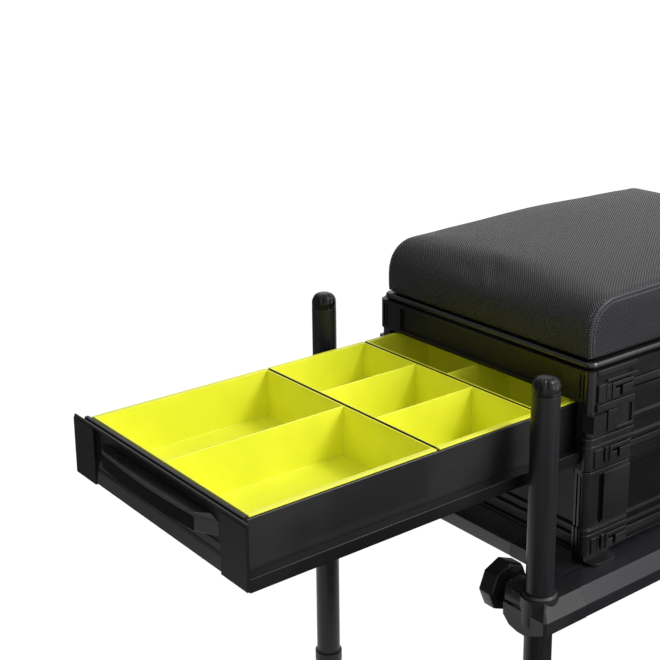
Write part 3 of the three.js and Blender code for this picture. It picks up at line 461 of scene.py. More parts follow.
def new_finish(finish):
    """A new material of a finish, from the colours that are set."""
    tones = colours()
    satin, soft = (0.34, 0.48), (0.3, 0.42)
    match finish:
        case "rail":
            return coated_metal("Rail coating", tones.rail, soft, ALONG_Y, 0.35)
        # A lighter, more metallic copy of the rail coating: painted reflection on the cross rails.
        case "cross_rail_lit":
            return coated_metal("Cross rail coating with painted reflection", tones.cross, (0.32, 0.44), ALONG_X, 0.5)
        case "casting":
            return moulded("Casting", tones.casting, (0.32, 0.45), 0.42, 700.0, 0.00005)
        case "leg":
            return coated_metal("Leg coating", tones.leg, (0.34, 0.46), ALONG_Z, 0.0, 0.3)
        case "plastic":
            return moulded("Box plastic", tones.plastic, satin, 0.25)
        case "corner":
            return moulded("Corner plastic", tones.plastic, (0.28, 0.46), 0.52)
        case "unit_wall":
            return moulded("Unit wall plastic", tones.plastic, satin, 0.15)
        case "wall":
            return moulded("Wall plastic", tones.plastic, satin, 0.07)
        # Painted shade: a near-black matt finish that makes slots and gaps read as deep shade.
        case "painted_shade":
            return moulded("Painted shade plastic", tones.painted_shade, (0.7, 0.8), 0.02, dust=0.0, rub_and_glint=0.0)
        case "drawer":
            return moulded("Drawer plastic", tones.drawer, soft, 0.22)
        case "shell":
            return moulded("Drawer shell plastic", tones.drawer, soft, 0.58)
        case "handle":
            return moulded("Handle plastic", tones.drawer, (0.26, 0.38), 0.9, *SMOOTH)
        # Painted shade on the handle's front: the near-black of the slots, with little gloss.
        case "handle_front_shade":
            return moulded("Handle front painted shade", tones.painted_shade, (0.5, 0.6), 0.08, dust=0.0, rub_and_glint=0.4)
        # The knobs' light facet edges are mostly painted highlight from the edge mask.
        case "gloss":
            return moulded("Gloss plastic", tones.gloss, (0.2, 0.3), 0.22, *SMOOTH, rub_and_glint=1.2)
        case "bead":
            return moulded("Bead plastic", tones.gloss, (0.26, 0.36), 0.6, *SMOOTH, rub_and_glint=0.5)
        case "lime":
            return moulded("Insert plastic", tones.lime, (0.3, 0.4), 0.5, 1100.0, 0.00002, *CLEAN)
        case "leather":
            return leatherette("Cover leatherette", tones.leather)
        case "thread":
            return moulded("Thread", tones.thread, (0.6, 0.7), 0.3, 2500.0, 0.0001, *CLEAN)
        case "bare":
            return bare_metal("Bare aluminium", tones.bare, (0.26, 0.4), ALONG_Z)
        case "steel":
            return bare_metal("Pin steel", tones.bare, (0.2, 0.3), PIN_ALONG_X)
        case "rubber":
            return moulded("Foot rubber", tones.rubber, (0.7, 0.82), 0.3, 500.0, 0.0001, 0.2)
    raise KeyError(finish)


def material_of(finish):
    """The material of a finish, made when it is first asked for."""
    if finish not in made_finishes:
        made_finishes[finish] = new_finish(finish)
    return made_finishes[finish]


# ---------------------------------------------------------------- mesh building


def round_edges(bm, edges, offset, clamp=False):
    bmesh.ops.bevel(
        bm,
        geom=edges,
        offset=offset,
        segments=2,
        profile=0.5,
        affect="EDGES",
        clamp_overlap=clamp,
    )


def block(bm, across, along, upward, edge):
    """Adds a block over a span on each axis, its edges rounded."""
    spans = [sorted(span) for span in (across, along, upward)]
    verts = bmesh.ops.create_cube(bm, size=1)["verts"]
    for v in verts:
        v.co = [low + (at + 0.5) * (high - low) for at, (low, high) in zip(v.co, spans)]
    round_edges(bm, list({e for v in verts for e in v.link_edges}), edge)


def prism(bm, outline, axis, span, edge=0.0):
    """Adds an outline of point pairs swept along an axis (0, 1 or 2), its edges rounded."""
    rings = [
        [bm.verts.new((*pair[:axis], place, *pair[axis:])) for pair in outline] for place in span
    ]
    faces = [bm.faces.new(rings[0]), bm.faces.new(rings[1][::-1])]
    count = len(outline)
    for i in range(count):
        j = (i + 1) % count
        faces.append(bm.faces.new((rings[0][j], rings[0][i], rings[1][i], rings[1][j])))
    bmesh.ops.recalc_face_normals(bm, faces=faces)
    if edge:
        around = {e for f in faces for e in f.edges}
        round_edges(bm, [e for e in around if e.calc_face_angle(0) > math.radians(25)], edge)


def turned(bm, profile, centre, sides=64, shape=None):
    """Adds a profile of (radius, height) turned about an upright axis.
    shape(angle, radius, height) may give each point its own radius."""
    rings = []
    for radius, height in profile:
        if radius == 0:
            rings.append([bm.verts.new((*centre, height))])
            continue
        ring = []
        for i in range(sides):
            angle = 2 * math.pi * i / sides
            own = shape(angle, radius, height) if shape else radius
            across = centre[0] + own * math.cos(angle)
            along = centre[1] + own * math.sin(angle)
            ring.append(bm.verts.new((across, along, height)))
        rings.append(ring)
    faces = []
    for low, high in zip(rings, rings[1:]):
        for i in range(sides):
            j = (i + 1) % sides
            around = ((low, i), (low, j), (high, j), (high, i))
            corners = [ring[k % len(ring)] for ring, k in around]
            unique = [v for k, v in enumerate(corners) if v not in corners[:k]]
            if len(unique) > 2:
                faces.append(bm.faces.new(unique))
    bmesh.ops.recalc_face_normals(bm, faces=faces)


def tube(bm, path, radius, sides=10):
    """Adds a round cord of thread or piping along a path of points."""
    rings = []
    turns = [2 * math.pi * k / sides for k in range(sides)]
    for i, point in enumerate(path):
        along = (path[min(i + 1, len(path) - 1)] - path[max(i - 1, 0)]).normalized()
        side = along.cross(Vector((1, 0, 0)))
        if side.length < 0.1:
            side = along.cross(Vector((0, 0, 1)))
        side.normalize()
        up = side.cross(along)
        ring = [point + radius * (math.cos(turn) * side + math.sin(turn) * up) for turn in turns]
        rings.append([bm.verts.new(place) for place in ring])
    faces = [bm.faces.new(rings[0][::-1]), bm.faces.new(rings[-1])]
    for low, high in zip(rings, rings[1:]):
        for k in range(sides):
            m = (k + 1) % sides
            faces.append(bm.faces.new((low[k], low[m], high[m], high[k])))
    bmesh.ops.recalc_face_normals(bm, faces=faces)


def cad_form(node, edge):
    """A copy of a CAD node's form with its corners welded and its sharp edges rounded."""
    bm = bmesh.new()
    bm.from_mesh(frame["nodes"][node].data)
    bmesh.ops.remove_doubles(bm, verts=bm.verts, dist=2e-6)
    bmesh.ops.dissolve_limit(
        bm,
        angle_limit=math.radians(1),
        verts=bm.verts,
        edges=bm.edges,
        use_dissolve_boundaries=False,
    )
    if edge:
        sharp = [
            e
            for e in bm.edges
            if len(e.link_faces) == 2
            and e.calc_face_angle(0) > math.radians(30)
            and e.calc_length() > 2.2 * edge
        ]
        round_edges(bm, sharp, edge, clamp=True)
    return bm


def add_piece(name, bm, finish, nodes=(), body=None, scaled=True, weighted=True):
    """Turns built faces into a piece that rides on its body and stands for its CAD nodes."""
    if scaled:
        bmesh.ops.transform(bm, matrix=FROM_BOX, verts=bm.verts)
    for face in bm.faces:
        face.smooth = True
    for edge in bm.edges:
        edge.smooth = len(edge.link_faces) == 2 and edge.calc_face_angle(0) < SHARP
    mesh = bpy.data.meshes.new(name)
    bm.to_mesh(mesh)
    bm.free()
    mesh.materials.append(material_of(finish))
    piece = bpy.data.objects.new(name, mesh)
    bpy.context.scene.collection.objects.link(piece)
    if weighted:
        even = piece.modifiers.new("Even shading", "WEIGHTED_NORMAL")
        even.keep_sharp = True
    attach(piece, body or frame["nodes"][nodes[0]]["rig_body"])
    if nodes:
        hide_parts(*nodes)
    return piece


def stand_for(node, bm, finish, **options):
    """Adds a piece that shows one CAD node, under the node's own name."""
    return add_piece(f"{node}_shape", bm, finish, [node], **options)


def soften(node, finish, edge=None, extra=None):
    """Shows a CAD node with rounded edges, and any extra blocks moulded on it."""
    bm = cad_form(node, sizes().soft_edge if edge is None else edge)
    bmesh.ops.transform(bm, matrix=FROM_BOX.inverted(), verts=bm.verts)
    if extra:
        extra(bm)
    return stand_for(node, bm, finish)


def finish_corners(piece, beyond):
    """Gives a side's corner mouldings, from a distance along the box, the corner finish."""
    piece.data.materials.append(material_of("corner"))
    for face in piece.data.polygons:
        if abs(face.center.y - BOX_Y) > beyond * MM and abs(face.center.x) > CORNERS_START * MM:
            face.material_index = 1


# ---------------------------------------------------------------- frame


def make_rails():
    for side in SIDES:
        soften(f"rail_{side}", "rail", sizes().rail_edge)
    for end in ENDS:
        soften(f"rail_{end}", "cross_rail_lit", sizes().rail_edge)


def make_castings():
    for corner, _, _ in CORNERS:
        soften(f"corner_casting_{corner}", "casting", 1.8 * MM)


def make_knobs():
    for corner, _, _ in CORNERS:
        soften(f"clamp_knob_{corner}", "gloss", sizes().knob_edge)


# ---------------------------------------------------------------- legs


FLUTES_START, FLUTES_END, CAP_TIP = 532.5, 535, 542.9


def cap_shape(angle, radius, height):
    """Flutes of the leg cap: eight grooves between rounded lobes on the dome."""
    depth = sizes().flute_depth / MM
    share = min(1.0, max(0.0, (height - FLUTES_START) / (FLUTES_END - FLUTES_START)))
    if height >= CAP_TIP:
        share *= 0.4
    return radius - depth * share * abs(math.cos(4 * angle)) ** 8


# Outlines of the turned pieces: radius and height above the ground.
CAP_PROFILE = [
    (0, 513),
    (12.6, 513),
    (12.6, 525),
    (14.6, 525),
    (15, 525.4),
    (15, 527.2),
    (14.3, 527.7),
    (14.3, 528.7),
    (15, 529.2),
    (15, 531.4),
    (14.95, 532.6),
    (14.7, 534.2),
    (14.2, 536),
    (13.3, 538),
    (11.9, 539.9),
    (9.9, 541.6),
    (7.4, 542.7),
    (5, 543),
    (0, 543),
]
TUBE_PROFILE = [
    (13, 36),
    (17, 36),
    (17.5, 36.5),
    (17.5, 50),
    (16.6, 51),
    (15, 51.2),
    (15, 524.4),
    (14.5, 525),
    (13, 525),
    (13, 36),
]
INNER_PROFILE = [
    (0, 24),
    (11.8, 24),
    (12.6, 24.8),
    (12.6, 265.4),
    (12, 266),
    (10.6, 266),
    (10.6, 26),
    (0, 26),
]
BALL_RADIUS, BALL_HEIGHT = 8, 14
BALL_TURNS = [math.radians(a) for a in range(15, 150, 15)]
BALL_PROFILE = [
    (0, BALL_HEIGHT - BALL_RADIUS),
    *((BALL_RADIUS * math.sin(a), BALL_HEIGHT - BALL_RADIUS * math.cos(a)) for a in BALL_TURNS),
    (4.5, 21),
    (4.5, 25),
    (0, 25),
]
FOOT_PROFILE = [
    (0, 0),
    (29.2, 0),
    (30, 0.8),
    (30, 3),
    (28.4, 4.8),
    (26.8, 6),
    (15, 6.3),
    (13, 7.6),
    (13, 19),
    (12, 20),
    (6.8, 20),
    (7.9, 18.2),
    (8.8, 15.4),
    (8.8, 12.6),
    (6.8, 8.4),
    (0, 5.2),
]


def make_legs():
    for corner, x, y in CORNERS:
        centre = (x * LEG_X, y * LEG_Y)
        barrel, cap = bmesh.new(), bmesh.new()
        turned(barrel, TUBE_PROFILE, centre)
        stand_for(f"leg_tube_{corner}", barrel, "leg")
        turned(cap, CAP_PROFILE, centre, 96, cap_shape)
        stand_for(f"leg_cap_{corner}", cap, "gloss")


def make_feet():
    for corner, x, y in CORNERS:
        centre = (x * LEG_X, y * LEG_Y)
        inner, foot = bmesh.new(), bmesh.new()
        turned(inner, INNER_PROFILE, centre)
        turned(inner, BALL_PROFILE, centre, 32)
        stand_for(f"inner_leg_{corner}", inner, "bare")
        turned(foot, FOOT_PROFILE, centre)
        stand_for(f"foot_{corner}", foot, "rubber")


# ---------------------------------------------------------------- box


# A corner block is a span across from the middle, one along from it, and one above the ground.
COVER_ACROSS = (172, 176)
BASE_COVER = (COVER_ACROSS, (218.4, 224), (310, 328))
BASE_BLOCKS = (
    ((172, 175.4), (181, 223.4), (346, 402.2)),
    ((172, 175.6), (232, 240), (309.5, 327.5)),
    ((172, 175.2), (229, 230.6), (309.5, 327.5)),
)
# A near-black block set in the corner column's groove: painted shade.
BASE_SLOT_SHADE = ((170, 173), (223.6, 228.4), (346, 400))
UNIT_COVER = (COVER_ACROSS, (218.4, 224), (415, 433))
UNIT_BLOCKS = (
    ((171, 175.2), (207, 221), (450, 474)),
    ((171, 175.2), (179, 182), (450, 474)),
    ((171, 176.2), (181, 208), (449.6, 453.2)),
    ((171, 175.8), (179, 240), (476.4, 484.6)),
    ((172, 175.6), (227, 240), (411.5, 432.5)),
)
SEAT_COVER = (COVER_ACROSS, (218.4, 226), (488, 506))
SEAT_BLOCKS = (
    ((172, 176.6), (177, 226), (508.6, 511.2)),
    ((172, 175.4), (177, 240), (517.6, 523.6)),
    ((172, 176.8), (228, 240), (487, 508)),
)

# A ledge round a corner: how far it stands out, and its span above the ground.
BASE_LEDGES_START = 182.5
BASE_LEDGES = ((1.8, (336.6, 339.8)), (1.2, (330.2, 333.4)), (1.4, (402.2, 408.2)))
UNIT_LEDGES_START = 179
UNIT_LEDGES = ((2.4, (443.8, 447.4)), (1.6, (434.6, 438.2)))

UNIT_FRONT = -255
UNIT_FRONT_SET_BACK = -250.3
UNIT_EDGE_SET_BACK = 3.5
UNIT_NOTCH = (450, 476)


def corner_blocks(bm, x, y, blocks):
    """Adds blocks, given for the corner where x and y are 1, to any corner of the box."""
    for across, along, upward in blocks:
        block(bm, [x * v for v in across], [y * v for v in along], upward, 0.45)


def wrapped_ledge(bm, x, y, proud, start, upward):
    """A ledge along the side that turns round a corner of the box on to its end."""
    outline = [(172, start), (HALF_X + proud, start)]
    turn = [math.radians(a) for a in range(0, 90, 11)]
    for radius, angles in ((CORNER_RADIUS + proud, turn), (CORNER_RADIUS - 2, turn[::-1])):
        for angle in angles:
            across = HALF_X - CORNER_RADIUS + radius * math.cos(angle)
            outline.append((across, HALF_Y - CORNER_RADIUS + radius * math.sin(angle)))
    prism(bm, [(x * across, y * along) for across, along in outline], 2, upward, 0.4)


def make_base():
    for corner, x, y in CORNERS:
        node = f"base_corner_{corner}"

        def extra(bm, x=x, y=y):
            corner_blocks(bm, x, y, BASE_BLOCKS + (BASE_COVER,) if y < 0 else BASE_BLOCKS)
            for proud, upward in BASE_LEDGES:
                wrapped_ledge(bm, x, y, proud, BASE_LEDGES_START, upward)

        soften(node, "corner", extra=extra)
        # The groove's dark inlay: painted shade.
        slot = bmesh.new()
        corner_blocks(slot, x, y, [BASE_SLOT_SHADE])
        add_piece(f"{node}_slot", slot, "painted_shade", body=frame["nodes"][node]["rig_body"])
    for wall in SIDES:
        soften(f"base_wall_{wall}", "wall", 0.6 * MM)
    for wall in ENDS:
        soften(f"base_wall_{wall}", "plastic", 0.6 * MM)
    soften("base_floor", "plastic")


def notch_front(bm):
    """Sets back the front end of a unit's side over the notch, and its outer edge farther."""
    for v in bm.verts:
        in_notch = UNIT_NOTCH[0] < v.co.z < UNIT_NOTCH[1]
        if v.co.y < UNIT_FRONT_SET_BACK and abs(v.co.x) > CORNERS_START and in_notch:
            outer = UNIT_EDGE_SET_BACK if abs(v.co.x) > HALF_X - 1 else 0
            v.co.y = UNIT_FRONT_SET_BACK + (v.co.y - UNIT_FRONT) * 0.1 + outer


def make_unit():
    for side, x in SIDES.items():

        def extra(bm, x=x):
            notch_front(bm)
            corner_blocks(bm, x, -1, (UNIT_COVER,) + UNIT_BLOCKS)
            corner_blocks(bm, x, 1, UNIT_BLOCKS)
            for y in (-1, 1):
                for proud, upward in UNIT_LEDGES:
                    wrapped_ledge(bm, x, y, proud, UNIT_LEDGES_START, upward)

        finish_corners(soften(f"unit_side_{side}", "unit_wall", 0.6 * MM, extra=extra), 178)
    soften("unit_floor", "plastic")
    soften("unit_rear", "plastic")


# Heights of the latches' middles, and their blocks with heights from there.
LATCH_MIDDLES = {"base": 319, "unit": 424, "seat": 497}
LATCH_BAR_ACROSS, LATCH_BAR_END, LATCH_BAR_HALF = (170.4, 173.9), 183, 4
LATCH_BACK = ((173, 175.1), (184.2, 217.8), (-8.8, 8.8))
LATCH_BLOCKS = (
    ((174.5, 177.2), (184, 218), (4.4, 9)),
    ((174.5, 177.2), (206.2, 218), (-9, 1)),
    ((174.5, 177.2), (213.6, 218), (0, 5)),
    ((174.5, 177.4), (184, 201.8), (-7.2, 2.9)),
)


def make_latches():
    for level, middle in LATCH_MIDDLES.items():
        heights = (middle - LATCH_BAR_HALF, middle + LATCH_BAR_HALF)
        for side, x in SIDES.items():
            node = f"latch_{level}_{side}"
            back, blocks = bmesh.new(), bmesh.new()
            bar = [x * v for v in LATCH_BAR_ACROSS]
            block(blocks, bar, (-LATCH_BAR_END, LATCH_BAR_END), heights, 0.4)
            for y in (-1, 1):
                for bm, shapes in ((back, (LATCH_BACK,)), (blocks, LATCH_BLOCKS)):
                    raised = [
                        (across, along, [height + middle for height in upward])
                        for across, along, upward in shapes
                    ]
                    corner_blocks(bm, x, y, raised)
            # The latch's back plate and bar take the painted shade, so the slots between its
            # blocks read black.
            add_piece(f"{node}_back", back, "painted_shade", [node])
            body = frame["nodes"][node]["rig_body"]
            add_piece(f"{node}_blocks", blocks, "corner", body=body)


# The drawer's panel and its bowed handle.
PANEL_FACE, BOW_END, BOW_RISE, BOW_STEPS = -679.5, -691.5, 4, 24
HOOD_FOOT, HOOD_CEILING, HOOD_SHOULDER, HOOD_CROWN = 451, 466, 466.2, 470
FRONT_SHADE_PROUD, FRONT_SHADE_SUNK, FRONT_SHADE_HEIGHTS = 0.5, 0.8, (451.6, 465.6)
FIELD = [(-679, 445.6), (-680.4, 445.6), (-683.8, 420), (-679, 420)]
FIELD_HALF = 119

# The dividers between the inserts: where they stand along the drawer, and their form. They stand
# for the black shell that shows between the inserts, made near-black and matt as painted shade in
# the gaps.
DIVIDERS = (-443.15, -297.75)
DIVIDER_HALF, DIVIDER_REACH, DIVIDER_FOOT, DIVIDER_BELOW_RIM = 1.25, 143, 440, 0.2
INSERT_GAP = 0.0008


def bow_plan(bow_half, end_half, inside=0.0):
    """Plan of the handle: a slanted end, the bowed front and the other slanted end."""
    shares = [2 * i / BOW_STEPS - 1 for i in range(BOW_STEPS + 1)]
    bow = [
        (bow_half * share, inside + BOW_END - BOW_RISE * math.cos(math.pi / 2 * share))
        for share in shares
    ]
    return [(-end_half, PANEL_FACE), *bow, (end_half, PANEL_FACE)]


def handle_hood():
    """The bow handle: a hood with slanted ends, hollow from below for the fingers."""
    bm = bmesh.new()
    foot, crown, hollow = bow_plan(87.5, 111.5), bow_plan(87.5, 99.5), bow_plan(71.5, 95.5, 4)
    levels = (
        (hollow, HOOD_CEILING),
        (hollow, HOOD_FOOT),
        (foot, HOOD_FOOT),
        (foot, HOOD_SHOULDER),
        (crown, HOOD_CROWN),
    )
    rings = [[bm.verts.new((x, y, z)) for x, y in plan] for plan, z in levels]
    for lower, upper in zip(rings, rings[1:]):
        for i in range(len(foot) - 1):
            bm.faces.new((lower[i], lower[i + 1], upper[i + 1], upper[i]))
    bm.faces.new(rings[-1])
    bm.faces.new(rings[0][::-1])
    bm.faces.new([ring[0] for ring in rings[::-1]] + [ring[-1] for ring in rings])
    bmesh.ops.recalc_face_normals(bm, faces=bm.faces)
    round_edges(bm, [e for e in bm.edges if e.calc_face_angle(0) > 0.6], 0.8, clamp=True)
    return bm


def front_shade_strip():
    """A near-black matt strip along the front of the handle's bow: painted shade on the handle's
    front face.
    """
    bm = bmesh.new()
    bow = bow_plan(87.3, 111.5)[1:-1]
    front = [(x, y - FRONT_SHADE_PROUD) for x, y in bow]
    prism(bm, front + [(x, y + FRONT_SHADE_SUNK) for x, y in reversed(bow)], 2, FRONT_SHADE_HEIGHTS)
    return bm


def make_drawer():
    soften("drawer_shell", "shell")
    dividers = bmesh.new()
    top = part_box("insert_front")[1].z / MM - DIVIDER_BELOW_RIM
    for y in DIVIDERS:
        thick = (y - DIVIDER_HALF, y + DIVIDER_HALF)
        block(dividers, (-DIVIDER_REACH, DIVIDER_REACH), thick, (DIVIDER_FOOT, top), 0.2)
    # The dividers take the painted shade: darker and more matt than the shell that shows there.
    add_piece("drawer_dividers", dividers, "painted_shade", body="drawer")
    soften("drawer_front", "drawer", 0.7 * MM)
    field = bmesh.new()
    prism(field, FIELD, 0, (-FIELD_HALF, FIELD_HALF), 0.4)
    add_piece("drawer_front_field", field, "handle", body="drawer")
    stand_for("drawer_handle", handle_hood(), "handle")
    add_piece("drawer_handle_front_shade", front_shade_strip(), "handle_front_shade", body="drawer")
    for side in SIDES:
        soften(f"runner_{side}", "drawer")


def make_inserts():
    for place in ("front", "middle", "rear"):
        node = f"insert_{place}"
        low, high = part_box(node)
        middle, half = (low + high) / 2, (high - low) / 2
        bm = cad_form(node, 0.5 * MM)
        for v in bm.verts:
            for i in (0, 1):
                v.co[i] = middle[i] + (v.co[i] - middle[i]) * (1 - INSERT_GAP / half[i])
        stand_for(node, bm, "lime", scaled=False)


def make_seat():
    def extra(bm):
        for x in (-1, 1):
            for y in (-1, 1):
                corner_blocks(bm, x, y, SEAT_BLOCKS)
        for x in (-1, 1):
            corner_blocks(bm, x, -1, [SEAT_COVER])

    finish_corners(soften("seat_tray", "plastic", 0.6 * MM, extra=extra), 176)
    stand_for("hinge_pin", cad_form("hinge_pin", 0.3 * MM), "steel", scaled=False)
    soften("seat_lid", "bead", 1.2 * MM)


# ---------------------------------------------------------------- cushion


# Lengths of the cushion's sewing, in metres.
LOFT = 0.0018
SEAM_INSET, SEAM_BAND, SEAM_PULL, SEAM_FOOT = 0.0058, 0.006, 0.0016, 0.006
WELT_STEP, WELT_SUNK = 0.003, 0.0006
OVER_STEP, OVER_REACH, OVER_SLANT, OVER_RADIUS = 0.0029, 0.0024, 0.0013, 0.0009
ROW_INSET, ROW_CROWN, ROW_RADIUS = 0.0036, 0.0003, 0.0006
CLOTH_FRAMES = 20


def cover_grid(mesh, edge_x):
    """Writes the weave's grid to the cover: across and along it, and flat on the end panels."""
    low = min(v.co.y for v in mesh.vertices)
    grid = mesh.attributes.new("cover_grid", "FLOAT_VECTOR", "CORNER")
    values = []
    for face in mesh.polygons:
        on_end = abs(face.center.x) > edge_x and abs(face.normal.x) > 0.6
        for index in face.vertices:
            at = mesh.vertices[index].co
            if on_end:
                across, along = math.copysign(1.18, at.x) * at.y, 1.18 * at.z
                values.extend((0.5 * across + 0.87 * along, 0.87 * across - 0.5 * along, 0.0))
            else:
                rise = at.z if face.center.y < BOX_Y else -at.z
                along = at.y - low + rise
                values.extend((0.83 * at.x + 0.55 * along, 0.83 * along - 0.55 * at.x, 0.0))
    grid.data.foreach_set("vector", values)


def filled_cover(source, hold_x):
    """The cover blown up by its filling: a cloth under pressure, held at its foot and seams."""
    size = sizes()
    work = bpy.data.objects.new("cover_work", source)
    bpy.context.scene.collection.objects.link(work)
    remesh = work.modifiers.new("Even grid", "REMESH")
    remesh.mode = "VOXEL"
    remesh.voxel_size = size.voxel
    bpy.context.view_layer.update()
    graph = bpy.context.evaluated_depsgraph_get()
    even = bpy.data.meshes.new_from_object(work.evaluated_get(graph))
    work.modifiers.clear()
    work.data = even
    rest = [v.co.copy() for v in even.vertices]
    floor = min(p.z for p in rest)
    held = work.vertex_groups.new(name="held")
    for i, p in enumerate(rest):
        near_seam = max(0.0, 1 - abs(abs(p.x) - hold_x) / (1.4 * size.voxel))
        weight = 1.0 if p.z < floor + 0.6 * size.voxel else 0.85 * near_seam
        if weight > 0:
            held.add([i], weight, "REPLACE")
    cloth = work.modifiers.new("Filling", "CLOTH")
    cloth.settings.quality = 5
    cloth.settings.mass = 0.3
    cloth.settings.tension_stiffness = 18
    cloth.settings.compression_stiffness = 18
    cloth.settings.bending_stiffness = 4
    cloth.settings.use_pressure = True
    cloth.settings.uniform_pressure_force = 4
    cloth.settings.vertex_group_mass = "held"
    cloth.settings.effector_weights.gravity = 0
    for number in range(1, CLOTH_FRAMES + 1):
        bpy.context.scene.frame_set(number)
    graph = bpy.context.evaluated_depsgraph_get()
    blown = bpy.data.meshes.new_from_object(work.evaluated_get(graph))
    work.modifiers.clear()
    bpy.context.scene.frame_set(1)
    most = size.swell
    for v, p in zip(blown.vertices, rest):
        step = v.co - p
        if step.length > most:
            v.co = p + step * (most / step.length)
    work.data = blown
    finer = work.modifiers.new("Finer", "SUBSURF")
    finer.levels = 1
    finer.render_levels = 1
    graph = bpy.context.evaluated_depsgraph_get()
    made = bpy.data.meshes.new_from_object(work.evaluated_get(graph))
    bpy.data.objects.remove(work)
    return made


def seam_path(tree, low, high, x):
    """Points where a plane across the cushion cuts its cover, from foot to foot over the top."""
    middle = Vector((x, (low.y + high.y) / 2, low.z + 0.004))
    path = []
    steps = 150
    for i in range(steps + 1):
        angle = math.pi * i / steps
        way = Vector((0, -math.cos(angle), math.sin(angle)))
        hit = tree.ray_cast(middle + way * 0.6, -way)[0]
        if hit is not None:
            path.append(hit)
    return path


def even_path(path, step):
    """The same path as points a fixed step apart."""
    made = [path[0].copy()]
    left = step
    for a, b in zip(path, path[1:]):
        span = (b - a).length
        at = 0.0
        while span - at >= left:
            at += left
            made.append(a + (b - a) * (at / span))
            left = step
        left -= span - at
    return made


def beside_seam(tree, path, sign, reach):
    """The path again on the end panel, moved inwards from the seam."""
    made = []
    out = Vector((sign, 0, 0))
    for behind, point, ahead in zip(path, path[1:], path[2:]):
        inward = (ahead - behind).cross(out).normalized() * reach * sign
        start = point + inward + 0.03 * out
        hit = tree.ray_cast(start, -out)[0]
        if hit is not None:
            made.append(hit)
    return made


def raised_source(low, high):
    """The cushion's CAD form, raised by the loft that its cover has on the box."""
    bm = cad_form("seat_cushion", 0.0)
    for v in bm.verts:
        v.co.z = low.z + (v.co.z - low.z) * (1 + LOFT / (high.z - low.z))
    source = bpy.data.meshes.new("cover_source")
    bm.to_mesh(source)
    bm.free()
    return source


def pull_seams(cover, floor, seam_x):
    """Draws the cover in at its two seams, and keeps it above the lid."""
    for v in cover.vertices:
        near = max(0.0, 1 - abs(abs(v.co.x) - seam_x) / SEAM_BAND)
        if near and v.co.z > floor + SEAM_FOOT:
            pull = SEAM_PULL * near * near * (3 - 2 * near)
            v.co.x -= math.copysign(pull * 0.5, v.co.x)
            v.co.z -= pull * 0.6
        v.co.z = max(v.co.z, floor)


def over_stitches(bm, path, inside, piping):
    """Stitches that lie across the welt, all round it."""
    over = even_path(path, OVER_STEP)
    for a, b in zip(over, over[1:]):
        along = (b - a).normalized()
        up = a - inside
        up.x = 0
        up.normalize()
        across = along.cross(up) * OVER_REACH
        slant = along * OVER_SLANT
        crown = a + up * (piping - 0.0003)
        tube(bm, [a - across - slant, crown, a + across + slant], OVER_RADIUS, 5)


def row_stitches(bm, path, sign, length):
    """A row of stitches on the end panel beside the welt."""
    row = even_path(path, length)
    crown = Vector((sign * ROW_CROWN, 0, ROW_CROWN))
    for a, b in zip(row, row[1:]):
        way = (b - a) * 0.3
        centre = (a + b) / 2
        tube(bm, [centre - way, centre + crown, centre + way], ROW_RADIUS, 6)


def make_cushion():
    size = sizes()
    low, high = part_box("seat_cushion")
    seam_x = high.x - SEAM_INSET
    cover = filled_cover(raised_source(low, high), seam_x)
    pull_seams(cover, low.z, seam_x)
    cover_grid(cover, seam_x - 0.002)
    bm = bmesh.new()
    bm.from_mesh(cover)
    plain = {"scaled": False, "weighted": False}
    pad = add_piece("seat_cushion_cover", bm, "leather", ["seat_cushion"], **plain)
    tree = BVHTree.FromPolygons(
        [v.co for v in pad.data.vertices], [tuple(p.vertices) for p in pad.data.polygons]
    )
    inside = Vector((0, BOX_Y, low.z + 0.01))
    for side, sign in SIDES.items():
        welt, stitches = bmesh.new(), bmesh.new()
        path = even_path(seam_path(tree, low, high, sign * seam_x), WELT_STEP)
        tube(welt, [p + Vector((0, 0, -WELT_SUNK)) for p in path], size.piping)
        add_piece(f"cushion_welt_{side}", welt, "leather", body="lid", **plain)
        over_stitches(stitches, path, inside, size.piping)
        row_stitches(stitches, beside_seam(tree, path, sign, ROW_INSET), sign, size.stitch)
        add_piece(f"cushion_stitches_{side}", stitches, "thread", body="lid", **plain)


# ---------------------------------------------------------------- stage


# The camera's place in metres, its azimuth, pitch and roll in degrees, and its lens in pixels.
CAMERA_PLACE = (1.0307, -1.0905, 1.0210)
CAMERA_TURN = (52.7, 15.3, -0.8)
PICTURE = 660
FOCUS = 1308.6
PICTURE_CENTRE = (321.3, 245.7)
SENSOR = 36

FLOOR_REACH = 14
WORLD_COLOUR = (0.9, 0.92, 1.0, 1)
WORLD_STRENGTH = 0.45
FLOOR_GREY = (0.8, 0.8, 0.8, 1)
WHITE = (1, 1, 1, 1)


def low_card(*points):
    """The corners of a card that lies just above the floor."""
    return [(x, y, 0.01) for x, y in points]


# Painted reflections: cards that only gloss shows, dark or pale, to set what the faces reflect;
# each one's grey and its corners.
CARDS = {
    "Left card": (
        0.3,
        [(-3.2, 0.6, 0.01), (1.1, -2.6, 0.01), (1.1, -2.6, 2.4), (-3.2, 0.6, 2.4)],
    ),
    "Dark left floor card": (
        0.08,
        low_card((-3.2, 0.6), (-0.76, -1.22), (-0.76, -0.4), (-2.1, 0.6)),
    ),
    "Left floor card": (0.6, low_card((-0.76, -1.22), (1.1, -2.6), (1.1, -1.8), (-0.76, -0.4))),
    "Near floor card": (0.03, low_card((0.0, -1.0), (1.3, -1.0), (1.3, 3.0), (0.0, 3.0))),
    "Far floor card": (0.85, low_card((1.3, -1.0), (3.2, -1.0), (3.2, 3.0), (1.3, 3.0))),
}


